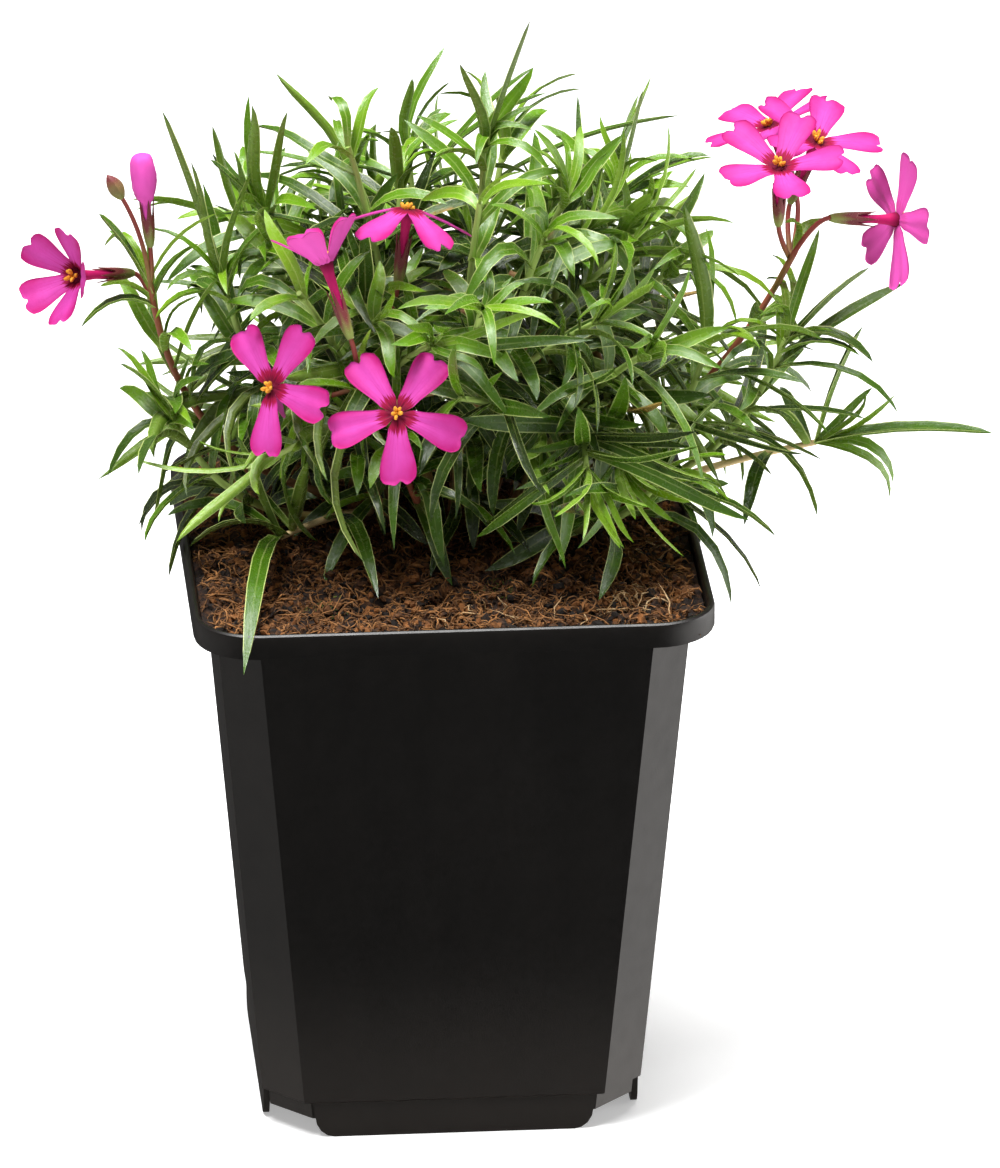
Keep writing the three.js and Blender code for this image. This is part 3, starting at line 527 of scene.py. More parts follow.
def ruled_stems(taken: list[np.ndarray]) -> list[Stem]:
    """Returns the stems that fill the cushion: a golden-angle fan with side shoots.

    Args:
        taken: samples of the branches already in place; those of the new ones are added.

    Returns:
        The stems that found a clear way.
    """
    throats = [np.array([f.throat]) for f in FLOWERS.values()]

    def clear(curve: Curve, own: list[np.ndarray]) -> bool:
        """Returns whether a curve keeps off the flowers and off all stems but its own."""
        line = samples_of(curve)
        return all(
            any(other is mine for mine in own) or apart(line, other) > STEM_SPACE for other in taken
        ) and all(apart(line, throat) > FLOWER_SPACE for throat in throats)

    stems: list[Stem] = []
    for i in range(RULED_STEMS):
        draw = Draws(RULED_SEED + i)
        out = sqrt((i + 0.5) / RULED_STEMS)
        lift = 0.88 + 0.2 * draw()
        main: tuple[float, Branch] | None = None
        for shift in (0, 0.2, -0.2, 0.4, -0.4, 0.6, -0.6):
            angle = i * GOLDEN_ANGLE + 0.9 + shift
            x, y = (a + b for a, b in zip(CROWN, polar(CROWN_RADIUS * out, angle)))
            tip = cushion_tip(out, angle, lift)
            bend = (mix(x, tip[0], 0.45), mix(y, tip[1], 0.45), mix(POT.soil_level + 8, tip[2], 0.62))
            branch = standing(x, y, bend, tip, OLD)
            if clear(branch.curve, []):
                main = (angle, branch)
                break
        if main is None:
            continue
        trunk = main[1]
        trunk_line = samples_of(trunk.curve)
        taken.append(trunk_line)
        branches = [trunk]
        for s in range(2 if out > 0.4 else 1):
            start = 0.36 + 0.16 * s + 0.06 * draw()
            for turn in (0.5, -0.5, 0.75, -0.75, 0.3, -0.3):
                angle = main[0] + (turn * (-1 if s else 1)) / max(out, 0.45)
                further = min(1.0, out + (0.1 if s else -0.08))
                tip = cushion_tip(further, angle, lift * (0.45 if s else 0.8))
                root = point_on(trunk.curve, start)
                bend = (
                    mix(root[0], tip[0], 0.5), mix(root[1], tip[1], 0.5), mix(root[2], tip[2], 0.5) + 3
                )
                shoot = leaving(trunk, start, bend, tip, SIDE)
                if clear(shoot.curve, [trunk_line]):
                    branches.append(shoot)
                    taken.append(samples_of(shoot.curve))
                    break
        stems.append(Stem(f"leafy_stem_{i + 1:02d}", tuple(branches)))
    return stems


def all_stems() -> list[Stem]:
    """Returns every stem, in the order in which the solids were laid out."""
    stems = [*flowering_stems(), *placed_stems()]
    lines = [samples_of(branch.curve) for stem in stems for branch in stem.branches]
    return [*stems, *ruled_stems(lines)]


# ---- Leaves ----


@dataclass(frozen=True)
class Leaf:
    """One blade: its middle line, the direction across it, and how it looks."""

    curve: Curve
    across: Point
    width: float
    tone: float
    chance: float
    roll: float = 0.0
    curl: float = 0.0
    sway: float = 0.0


@dataclass(frozen=True)
class LeafSeat:
    """Where a leaf of a shoot stands and how it leans."""

    root: Point
    along: Point
    side: Point
    turn: float
    length: float
    width: float
    open: float
    arch: float
    droop: float

    def bent(self, wider: float = 0.0, swing: float = 0.0, shrink: float = 1.0) -> tuple:
        """Returns the leaf's curve and the direction across it.

        Args:
            wider: added to its opening angle.
            swing: added to its turn about the stem.
            shrink: its length as a share of the stated one.

        Returns:
            The curve and the unit vector across it.
        """
        u, v = self.side, cross(self.along, self.side)
        angle = self.turn + swing
        out = plus(times(u, cos(angle)), v, sin(angle))

        def reach(lean: float) -> Point:
            """Returns the direction that leans away from the stem by an angle."""
            return plus(times(self.along, cos(lean)), out, sin(lean))

        half = self.length * shrink / 2
        first = reach(self.open + wider)
        last = unit(plus(reach(self.open + wider + self.arch), UP, -self.droop))
        middle = plus(self.root, first, half)
        return (self.root, middle, plus(middle, last, half)), cross(self.along, out)


def ways_of(seat: LeafSeat) -> Iterator[tuple]:
    """Bends a leaf of a pair in each way that the layout tries.

    Args:
        seat: the leaf's seat.

    Yields:
        Each way's curve and the direction across it, in the order of trying.
    """
    for shrink in (1, 0.72):
        for wider in (0, -0.3, 0.3):
            for swing in (0, 0.3, -0.3, 0.6, -0.6, 1, -1):
                yield seat.bent(wider, swing, shrink)


def ways_to(root: Point, reach: Reach) -> Iterator[tuple]:
    """Bends a leaf that reaches for a stated tip in each way that the layout tries.

    Args:
        root: where it leaves its branch.
        reach: its tip, and how it rises.

    Yields:
        Each way's curve and the direction across it, in the order of trying.
    """
    nudges = (
        (0, 0, 0), (0, 2.5, 0), (0, -2.5, 0), (0, 0, 2.5),
        (2.5, 0, 0), (-2.5, 0, 0), (0, 5, 2), (0, -5, 2),
    )
    for nudge in nudges:
        end = plus(reach.tip, nudge)
        middle = plus(times(plus(root, end), 0.5), UP, reach.rise)
        yield (root, middle, end), times(unit(cross(plus(end, root, -1), UP)), -1)


def seats_of(branch: Branch, seed: int) -> Iterator[tuple[LeafSeat, float]]:
    """Lays out a shoot's paired leaves.

    Args:
        branch: the shoot.
        seed: seeds its draws.

    Yields:
        Each leaf's seat, with its pair's share of the way from the lowest to the highest.
    """
    foliage = branch.foliage
    if foliage is None:
        return
    draw = Draws(seed)
    quarter = int(draw() * 2)
    side = side_of(branch.curve)
    for k in range(foliage.pairs):
        f = k / (foliage.pairs - 1)
        t = mix(foliage.start, foliage.end, f)
        for half in (0, 1):
            turn = (k + quarter) * (pi / 2) + half * pi + 0.4 * (draw() - 0.5)
            length = mix(foliage.long, foliage.short, f) * (0.85 + 0.3 * draw())
            width = mix(foliage.wide, foliage.narrow, f) * (0.9 + 0.2 * draw())
            opening = mix(foliage.open, foliage.close, f) + 0.3 * (draw() - 0.5)
            arch = 0.25 + 0.75 * draw()
            droop = 0.1 + 0.45 * draw() * (1 - 0.5 * f)
            seat = LeafSeat(
                point_on(branch.curve, t), slope_on(branch.curve, t), side,
                turn, length, width, opening, arch, droop,
            )
            yield seat, f


def corners_of(node: str) -> kdtree.KDTree:
    """Sorts the corners of a node of the solids.

    Args:
        node: the node's name.

    Returns:
        The tree that finds the nearest corner to a point.
    """
    corners = frame["nodes"][node].data.vertices
    tree = kdtree.KDTree(len(corners))
    for i, corner in enumerate(corners):
        tree.insert(corner.co, i)
    tree.balance()
    return tree


class Foliation:
    """All the leaves of one stem: those of its solid, and the small ones between them."""

    def __init__(self, stem: Stem, number: int) -> None:
        """Keeps the stem and its place in the layout.

        Args:
            stem: the stem.
            number: its place in the list of stems, which seeds its leaves.
        """
        self.stem = stem
        self.number = number
        self.corners = corners_of(stem.name)

    def in_solid(self, point: Point) -> bool:
        """Returns whether the solid has a corner within 0.05 mm of a point."""
        return self.corners.find(Vector(point) * MM)[2] < 0.05 * MM

    def solid_leaves(self) -> list[Leaf]:
        """Lays a leaf over each leaf of the solid.

        Returns:
            The leaves, bent in the first way whose tip the solid has.
        """
        leaves: list[Leaf] = []
        for b, branch in enumerate(self.stem.branches):
            look = Draws(LOOK_SEED + 100 * self.number + b)
            # The front runner's leaves lie out over the rim in full light; their tone is raised,
            # darker: partly an older leaf's grey-green, partly painted shade.
            older_and_shaded = 0.22 if self.stem.name == "runner_front" else 0.0
            wanted = [
                (ways_to(point_on(branch.curve, r.t), r), r.width, older_and_shaded + mix(0.4, 0.78, look()))
                for r in branch.reaching
            ]
            wanted += [
                (ways_of(seat), seat.width, 0.8 - 0.52 * f + 0.25 * (look() - 0.5))
                for seat, f in seats_of(branch, PAIR_SEED * (self.number + 1) + b)
            ]
            for ways, width, tone in wanted:
                found = next(((c, a) for c, a in ways if self.in_solid(c[2])), None)
                if found:
                    roll = look.between(-0.7, 0.7)
                    curl, sway = look.between(-0.6, 3.4), look.between(-1.1, 1.1)
                    curve = self.clear_of_petals(found[0])
                    leaves.append(Leaf(curve, found[1], width, tone, look(), roll, curl, sway))
        return leaves

    @staticmethod
    def before(point: Point, flower: Flower) -> Pair:
        """Returns how far a point lies before a flower, and how far aside squared, as it is seen."""
        away = plus(point, flower.throat, -1)
        ahead = dot(away, TOWARDS_VIEWER)
        aside = plus(away, TOWARDS_VIEWER, -ahead)
        return ahead, dot(aside, aside)

    def clear_of_petals(self, curve: Curve) -> Curve:
        """Leans a leaf back where its tip would cross a flower's face.

        Args:
            curve: the leaf's curve.

        Returns:
            The curve to use.
        """
        for flower in FLOWERS.values():
            ahead, aside = self.before(curve[2], flower)
            if -2 < ahead < 15 and aside < 11**2:
                back = -(ahead + 4)
                middle = plus(curve[1], TOWARDS_VIEWER, 0.4 * back)
                return (curve[0], middle, plus(curve[2], TOWARDS_VIEWER, back))
        return curve

    def plan(self, branch: Branch, foliage: Foliage, draw: Draws) -> list[tuple[float, ...]]:
        """Plans a shoot's young leaves: in the axils, between the pairs, low down and at the tip.

        Args:
            branch: the shoot.
            foliage: how its pairs of leaves are spread.
            draw: the draws.

        Returns:
            The place on the shoot, length, width, opening and tone of each.
        """
        planned: list[tuple[float, ...]] = []
        pairs = foliage.pairs if branch.foliage else 0
        gap = (foliage.end - foliage.start) / (foliage.pairs - 1)
        crowd = 3 if self.stem.name[-1].isdigit() else 2
        for k in range(pairs):
            t = foliage.start + gap * k
            tone = mix(0.35, 0.95, 1 - k / (pairs - 1))
            planned.append((t + 0.02, draw.between(9, 16), 1.7, draw.between(0.25, 0.8), 0.35))
            for _ in range(crowd if k < pairs - 1 else 0):
                size, opening = draw.between(22, 38), draw.between(0.4, 1.1)
                place = t + gap * draw.between(0.3, 0.7)
                planned.append((place, size, draw.between(2.0, 2.8), opening, tone))
        low = 3 if self.stem.flowers else 6
        for _ in range(low if branch.foot and pairs else 0):
            place, size = draw.between(0.06, foliage.start), draw.between(12, 24)
            planned.append((place, size, 2.6, draw.between(0.8, 1.35), 0.95))
        for _ in range(4):
            planned.append((1.0, draw.between(13, 27), 1.85, draw.between(0.05, 0.55), 0.3))
        return planned

    def young_leaves(self) -> list[Leaf]:
        """Grows the small leaves that fill the gaps between those of the solid.

        Returns:
            The leaves.
        """
        leaves: list[Leaf] = []
        for b, branch in enumerate(self.stem.branches):
            if branch.stalk:
                continue
            draw = Draws(YOUNG_SEED + 100 * self.number + b)
            foliage = branch.foliage or replace(SIDE, start=0.75)
            side = side_of(branch.curve)
            for t, length, width, opening, tone in self.plan(branch, foliage, draw):
                t = min(t, 1.0)
                limp = draw() ** 1.2 * (length / 38)
                seat = LeafSeat(
                    point_on(branch.curve, t), slope_on(branch.curve, t), side,
                    draw.between(0, tau), length, width * draw.between(0.8, 1.1),
                    opening, 0.15 + 2.0 * limp, draw.between(0, 0.25) + 1.4 * limp,
                )
                curve, across = seat.bent()
                if self.is_open(curve):
                    tone += draw.between(-0.15, 0.15)
                    bends = draw.between(-0.7, 0.7), draw.between(-0.6, 2.6), draw.between(-1.2, 1.2)
                    leaves.append(Leaf(curve, across, seat.width, tone, draw(), *bends))
        return leaves

    def is_open(self, curve: Curve) -> bool:
        """Tells whether a leaf stays over the soil and off the flowers' faces.

        Args:
            curve: the leaf's curve.

        Returns:
            Whether it does.
        """
        for t in (0.5, 0.75, 1.0):
            p = point_on(curve, t)
            if not all(low < c < high for low, c, high in zip(LEAF_SPACE[0], p, LEAF_SPACE[1])):
                return False
            out = max(abs(p[0]), abs(p[1]))
            ground = soil_height(p[0], p[1]) if out < 42 else POT.height
            if out < POT.rim_half + 3 and p[2] < ground + 1.2:
                return False
            for flower in (*FLOWERS.values(), BUD):
                away = plus(p, flower.throat, -1)
                ahead, aside = self.before(p, flower)
                faced = dot(away, unit(flower.axis)) > -6 and dot(away, away) < 14**2
                if faced or (ahead > -3 and aside < 12**2):
                    return False
        return True


# ---- Meshes ----


def make_mesh(
    name: str, points: Sequence[Point], faces: Faces,
    marks: dict[str, Sequence[float]] | None = None, uvs: Sequence[Pair] | None = None,
) -> Mesh:
    """Returns a mesh from points in millimetres.

    Args:
        name: the mesh's name.
        points: its corners.
        faces: its faces, counter-clockwise seen from outside.
        marks: numbers kept on the corners, by name.
        uvs: one pair for each corner.

    Returns:
        The mesh, in metres and shaded smooth.
    """
    mesh = bpy.data.meshes.new(name)
    mesh.from_pydata([tuple(c * MM for c in p) for p in points], [], [tuple(f) for f in faces])
    for mark, values in (marks or {}).items():
        mesh.attributes.new(mark, "FLOAT", "POINT").data.foreach_set("value", list(values))
    if uvs is not None:
        layer = mesh.uv_layers.new(name="UVMap")
        flat = np.array(uvs, np.float32)[[loop.vertex_index for loop in mesh.loops]]
        layer.data.foreach_set("uv", flat.ravel())
    mesh.shade_smooth()
    mesh.validate()
    return mesh


def link(name: str, data: bpy.types.ID, helper: bool = False) -> Object:
    """Returns a new object in the scene, hidden from the render if it only helps."""
    made = bpy.data.objects.new(name, data)
    made.hide_render = helper
    bpy.context.scene.collection.objects.link(made)
    return made


def dressed(mesh: Mesh, finish: Material) -> Object:
    """Returns a new object of a mesh with one finish."""
    mesh.materials.append(finish)
    return link(mesh.name, mesh)


def evaluated(thing: Object) -> Mesh:
    """Returns what an object's modifiers make of it, as a plain mesh."""
    graph = bpy.context.evaluated_depsgraph_get()
    graph.update()
    return bpy.data.meshes.new_from_object(
        thing.evaluated_get(graph), preserve_all_data_layers=True, depsgraph=graph
    )


def drop(thing: Object) -> None:
    """Removes an object that was only a help."""
    bpy.data.objects.remove(thing, do_unlink=True)


def join(name: str, parts: Sequence[Object]) -> Object:
    """Joins several objects into the first.

    Args:
        name: the whole's name.
        parts: the objects.

    Returns:
        The whole.
    """
    whole = parts[0]
    if len(parts) > 1:
        with bpy.context.temp_override(
            active_object=whole, object=whole, selected_editable_objects=list(parts)
        ):
            bpy.ops.object.join()
    whole.name = name
    whole.data.name = name
    return whole


def rings_to_faces(count: int, rows: int, closed: bool = True) -> Faces:
    """Returns the four-sided faces between rows of points.

    Args:
        count: points in a row.
        rows: rows, each further along.
        closed: whether a row's last point joins its first.

    Returns:
        The faces, facing outwards where each row runs counter-clockwise seen from the last.
    """
    steps = count if closed else count - 1
    faces = []
    for r in range(rows - 1):
        for i in range(steps):
            j = (i + 1) % count
            faces.append((r * count + i, r * count + j, (r + 1) * count + j, (r + 1) * count + i))
    return faces


def capped(count: int, rows: int) -> Faces:
    """Returns the faces between closed rows of points, and one over each end."""
    last = (rows - 1) * count
    ends = [tuple(reversed(range(count))), tuple(range(last, last + count))]
    return rings_to_faces(count, rows) + ends


@dataclass
class Shape:
    """Corners, faces and marks that grow into one mesh."""

    points: list[Point] = field(default_factory=list)
    faces: Faces = field(default_factory=list)
    uvs: list[Pair] = field(default_factory=list)
    marks: dict[str, list[float]] = field(default_factory=dict)

    def add(self, points: list[Point], faces: Faces, uvs: list[Pair], **marks: list[float]) -> None:
        """Adds a part.

        Args:
            points: its corners.
            faces: its faces, by its own corner numbers.
            uvs: one pair for each corner.
            marks: numbers kept on its corners.
        """
        start = len(self.points)
        self.points.extend(points)
        self.faces.extend(tuple(i + start for i in face) for face in faces)
        self.uvs.extend(uvs)
        for name, values in marks.items():
            self.marks.setdefault(name, []).extend(values)

    def mesh(self, name: str) -> Mesh:
        """Returns the mesh."""
        return make_mesh(name, self.points, self.faces, self.marks, self.uvs)


# ---- Node trees ----


class Wiring:
    """Places and links the nodes of a tree."""

    def __init__(self, tree: bpy.types.NodeTree) -> None:
        """Keeps the tree."""
        self.tree = tree

    def node(self, kind: str, inputs: dict | None = None, **settings: object) -> bpy.types.Node:
        """Adds a node.

        Args:
            kind: the node's type.
            inputs: a value or an output for each input, by number or name.
            settings: the node's own properties.

        Returns:
            The node.
        """
        made = self.tree.nodes.new(kind)
        for key, value in settings.items():
            setattr(made, key, value)
        for key, value in (inputs or {}).items():
            socket = made.inputs[key]
            if isinstance(value, Socket):
                self.tree.links.new(value, socket)
            else:
                socket.default_value = value
        return made

    def out(self, kind: str, inputs: dict | None = None, **settings: object) -> Socket:
        """Adds a node and returns its first output."""
        return self.node(kind, inputs, **settings).outputs[0]

    def number(self, operation: str, *values: object) -> Socket:
        """Returns the result of a sum on numbers."""
        return self.out("ShaderNodeMath", dict(enumerate(values)), operation=operation)

    def times(self, a: object, b: object) -> Socket:
        """Returns the product of two numbers."""
        return self.number("MULTIPLY", a, b)

    def plus(self, a: object, b: object) -> Socket:
        """Returns the sum of two numbers."""
        return self.number("ADD", a, b)

    def vector(self, operation: str, *values: object) -> Socket:
        """Returns the result of a sum on vectors; a scale takes its factor second."""
        keys = (0, 3) if operation == "SCALE" else range(len(values))
        made = self.node("ShaderNodeVectorMath", dict(zip(keys, values)), operation=operation)
        return made.outputs["Value" if operation in ("LENGTH", "DOT_PRODUCT") else 0]


class GeometryTree(Wiring):
    """A geometry node tree with named inputs."""

    def __init__(self, name: str, **inputs: str) -> None:
        """Makes the tree.

        Args:
            name: the tree's name.
            inputs: the kind of each input after the geometry, by name.
        """
        super().__init__(bpy.data.node_groups.new(name, "GeometryNodeTree"))
        self.tree.is_modifier = True
        self.ids: dict[str, str] = {}
        face = self.tree.interface
        for key, kind in {"Geometry": "Geometry", **inputs}.items():
            made = face.new_socket(key, in_out="INPUT", socket_type=f"NodeSocket{kind}")
            self.ids[key] = made.identifier
        face.new_socket("Geometry", in_out="OUTPUT", socket_type="NodeSocketGeometry")
        self.source = self.tree.nodes.new("NodeGroupInput")

    def given(self, name: str) -> Socket:
        """Returns the output that carries an input's value."""
        return self.source.outputs[name]

    def named(self, name: str, kind: str = "FLOAT") -> Socket:
        """Returns an attribute of the geometry."""
        return self.out("GeometryNodeInputNamedAttribute", {"Name": name}, data_type=kind)

    def shape_of(self, name: str) -> Socket:
        """Returns the geometry of the object that an input gives."""
        return self.node("GeometryNodeObjectInfo", {0: self.given(name)}).outputs["Geometry"]

    def dress(self, geometry: Socket, name: str) -> Socket:
        """Returns a geometry in the finish that an input gives."""
        return self.out("GeometryNodeSetMaterial", {0: geometry, "Material": self.given(name)})

    def end(self, geometry: Socket) -> None:
        """Links the tree's result."""
        self.node("NodeGroupOutput", {0: geometry})

    def grow(self, host: Object, **values: object) -> Mesh:
        """Runs the tree on an object and returns the result as a plain mesh.

        Args:
            host: the object, which is left as it was.
            values: a value for each named input.

        Returns:
            The mesh.
        """
        modifier = host.modifiers.new("grow", "NODES")
        modifier.node_group = self.tree
        for name, value in values.items():
            modifier[self.ids[name]] = value
        mesh = evaluated(host)
        host.modifiers.remove(modifier)
        return mesh


def shoot_tree() -> GeometryTree:
    """Grows a shoot: a blade bent onto each point, and a tube along each stem and stalk.

    Returns:
        The tree. Each point has the blade's middle line in root, middle and tip.
    """
    tree = GeometryTree(
        "leafy_shoot", Blade="Object", Stems="Object", Stalks="Object", Sides="Int",
        LeafFinish="Material", StemFinish="Material", StalkFinish="Material",
    )
    usual_width = 3 * MM
    spread = tree.out(
        "GeometryNodeInstanceOnPoints",
        {"Points": tree.given("Geometry"), "Instance": tree.shape_of("Blade")},
    )
    blades = tree.out("GeometryNodeRealizeInstances", {0: spread})
    root, middle, tip, across = (
        tree.named(name, "FLOAT_VECTOR") for name in ("root", "middle", "tip", "across")
    )
    along, width = tree.named("along"), tree.named("width")

    def between(a: Socket, b: Socket) -> Socket:
        """Returns the point at the blade's own share of the way from a to b."""
        return tree.node("ShaderNodeMix", {0: along, 4: a, 5: b}, data_type="VECTOR").outputs[1]

    def moved(start: Socket, way: Socket, by: Socket, sign: str = "ADD") -> Socket:
        """Returns a place moved along a direction, or against it."""
        return tree.vector(sign, start, tree.vector("SCALE", way, by))

    first, last = between(root, middle), between(middle, tip)
    slope = tree.vector("NORMALIZE", tree.vector("SUBTRACT", last, first))
    face = tree.vector("NORMALIZE", tree.vector("CROSS_PRODUCT", slope, across))
    side = tree.vector("CROSS_PRODUCT", face, slope)
    twist = tree.times(tree.named("roll"), along)
    cosine, sine = tree.number("COSINE", twist), tree.number("SINE", twist)
    turned_side = moved(tree.vector("SCALE", side, cosine), face, sine)
    turned_face = moved(tree.vector("SCALE", face, cosine), side, sine, "SUBTRACT")
    out = tree.times(tree.named("aside"), tree.times(width, 0.5))
    rise = tree.times(tree.named("lift"), tree.number("DIVIDE", width, usual_width))
    fall = tree.times(tree.named("curl"), tree.number("POWER", along, 3.0))
    wave = tree.number("SINE", tree.times(along, 1.6 * pi))
    place = moved(between(first, last), turned_side, out)
    place = moved(place, turned_face, rise)
    place = moved(place, face, fall, "SUBTRACT")
    place = moved(place, side, tree.times(tree.named("sway"), wave))
    leaves = tree.out("GeometryNodeSetPosition", {"Geometry": blades, "Position": place})
    grown = [tree.dress(leaves, "LeafFinish")]
    profile = tree.out(
        "GeometryNodeCurvePrimitiveCircle", {"Resolution": tree.given("Sides"), "Radius": 1.0}
    )
    for name in ("Stem", "Stalk"):
        rise = tree.out("GeometryNodeSplineParameter")
        lines = tree.out(
            "GeometryNodeStoreNamedAttribute",
            {"Geometry": tree.shape_of(f"{name}s"), "Name": "rise", "Value": rise},
            data_type="FLOAT",
            domain="POINT",
        )
        radius = tree.out("GeometryNodeInputRadius")
        tube = tree.out(
            "GeometryNodeCurveToMesh",
            {"Curve": lines, "Profile Curve": profile, "Scale": radius, "Fill Caps": True},
        )
        grown.append(tree.dress(tube, f"{name}Finish"))
    whole = tree.node("GeometryNodeJoinGeometry")
    for part in reversed(grown):
        tree.tree.links.new(part, whole.inputs[0])
    tree.end(tree.out("GeometryNodeSetShadeSmooth", {"Geometry": whole.outputs[0]}))
    return tree


def scatter_tree() -> GeometryTree:
    """Strews one small piece over a surface, such as hairs or fibres.

    Returns:
        The tree. Each copy keeps its own draw as chance.
    """
    tree = GeometryTree(
        "strewn", Piece="Object", Density="Float", Smallest="Float", Largest="Float",
        Sink="Float", Upright="Float", Seed="Int", Finish="Material",
    )
    given = tree.given
    size_seed, chance_seed, widest_lean = 7, 11, 1.4
    strewn = tree.node(
        "GeometryNodeDistributePointsOnFaces",
        {"Mesh": given("Geometry"), "Density": given("Density"), "Seed": given("Seed")},
    )
    normal = strewn.outputs["Normal"]
    stand = tree.out("FunctionNodeAlignRotationToVector", {"Vector": normal, "Factor": 1.0}, axis="Z")
    spin = tree.out(
        "FunctionNodeRandomValue",
        {0: (-1.0, -1.0, -pi), 1: (1.0, 1.0, pi), "Seed": given("Seed")},
        data_type="FLOAT_VECTOR",
    )
    lean = tree.times(tree.number("SUBTRACT", 1.0, given("Upright")), widest_lean)
    tilt = tree.out("ShaderNodeCombineXYZ", {0: lean, 1: lean, 2: 1.0})
    turned = tree.out("FunctionNodeEulerToRotation", {0: tree.vector("MULTIPLY", spin, tilt)})
    rotation = tree.out(
        "FunctionNodeRotateRotation", {"Rotation": stand, "Rotate By": turned}, rotation_space="LOCAL"
    )
    size = tree.node(
        "FunctionNodeRandomValue",
        {2: given("Smallest"), 3: given("Largest"), "Seed": size_seed},
        data_type="FLOAT",
    )
    sunk = tree.out(
        "GeometryNodeSetPosition",
        {"Geometry": strewn.outputs["Points"], "Offset": tree.vector("SCALE", normal, given("Sink"))},
    )
    copies = {"Points": sunk, "Instance": tree.shape_of("Piece"), "Rotation": rotation}
    spread = tree.out("GeometryNodeInstanceOnPoints", {**copies, "Scale": size.outputs[1]})
    chance = tree.node("FunctionNodeRandomValue", {"Seed": chance_seed}, data_type="FLOAT")
    marked = tree.out(
        "GeometryNodeStoreNamedAttribute",
        {"Geometry": spread, "Name": "chance", "Value": chance.outputs[1]},
        data_type="FLOAT",
        domain="INSTANCE",
    )
    tree.end(tree.dress(tree.out("GeometryNodeRealizeInstances", {0: marked}), "Finish"))
    return tree


# ---- Finishes ----


def tint(code: str) -> Colour:
    """Turns a colour code into a linear colour.

    Args:
        code: six hexadecimal digits.

    Returns:
        The colour, opaque.
    """

    def linear(byte: int) -> float:
        """Returns the linear value of one channel."""
        c = byte / 255
        return c / 12.92 if c <= 0.04045 else ((c + 0.055) / 1.055) ** 2.4

    return (*(linear(int(code[i : i + 2], 16)) for i in (0, 2, 4)), 1.0)


class SharedGroup(Enum):
    """The shader groups that several finishes use."""

    MOTTLE = "mottle"
    RELIEF = "fine_relief"


def start_group(
    group: SharedGroup, numbers: str, result: str, detail: float, rough: float
) -> tuple[Wiring, Sequence[Socket], Socket]:
    """Starts a shared shader group with a noise in it.

    Args:
        group: the group.
        numbers: names of its inputs after Vector; the first is the noise's scale.
        result: the name of its output, a Normal or a Value.
        detail: the noise's detail.
        rough: the noise's roughness.

    Returns:
        The group's wiring, its inputs and the noise.
    """
    wires = Wiring(bpy.data.node_groups.new(group.value, "ShaderNodeTree"))
    face = wires.tree.interface
    face.new_socket("Vector", in_out="INPUT", socket_type="NodeSocketVector")
    for name in numbers.split():
        face.new_socket(name, in_out="INPUT", socket_type="NodeSocketFloat")
    kind = "NodeSocketVector" if result == "Normal" else "NodeSocketFloat"
    face.new_socket(result, in_out="OUTPUT", socket_type=kind)
    given = wires.node("NodeGroupInput").outputs
    looks = {"Vector": given[0], "Scale": given[1], "Detail": detail, "Roughness": rough}
    return wires, given, wires.out("ShaderNodeTexNoise", looks)


def shader_groups() -> None:
    """Builds the shared shader groups, once."""
    wires, given, cloud = start_group(SharedGroup.MOTTLE, "Scale Depth", "Value", 3.0, 0.6)
    centred = wires.number("SUBTRACT", cloud, 0.5)
    wires.node("NodeGroupOutput", {0: wires.times(centred, given[2])})
    numbers = "Scale Strength Depth"
    wires, given, cloud = start_group(SharedGroup.RELIEF, numbers, "Normal", 4.0, 0.65)
    bump = {"Strength": given[2], "Distance": given[3], "Height": cloud}
    wires.node("NodeGroupOutput", {0: wires.out("ShaderNodeBump", bump)})


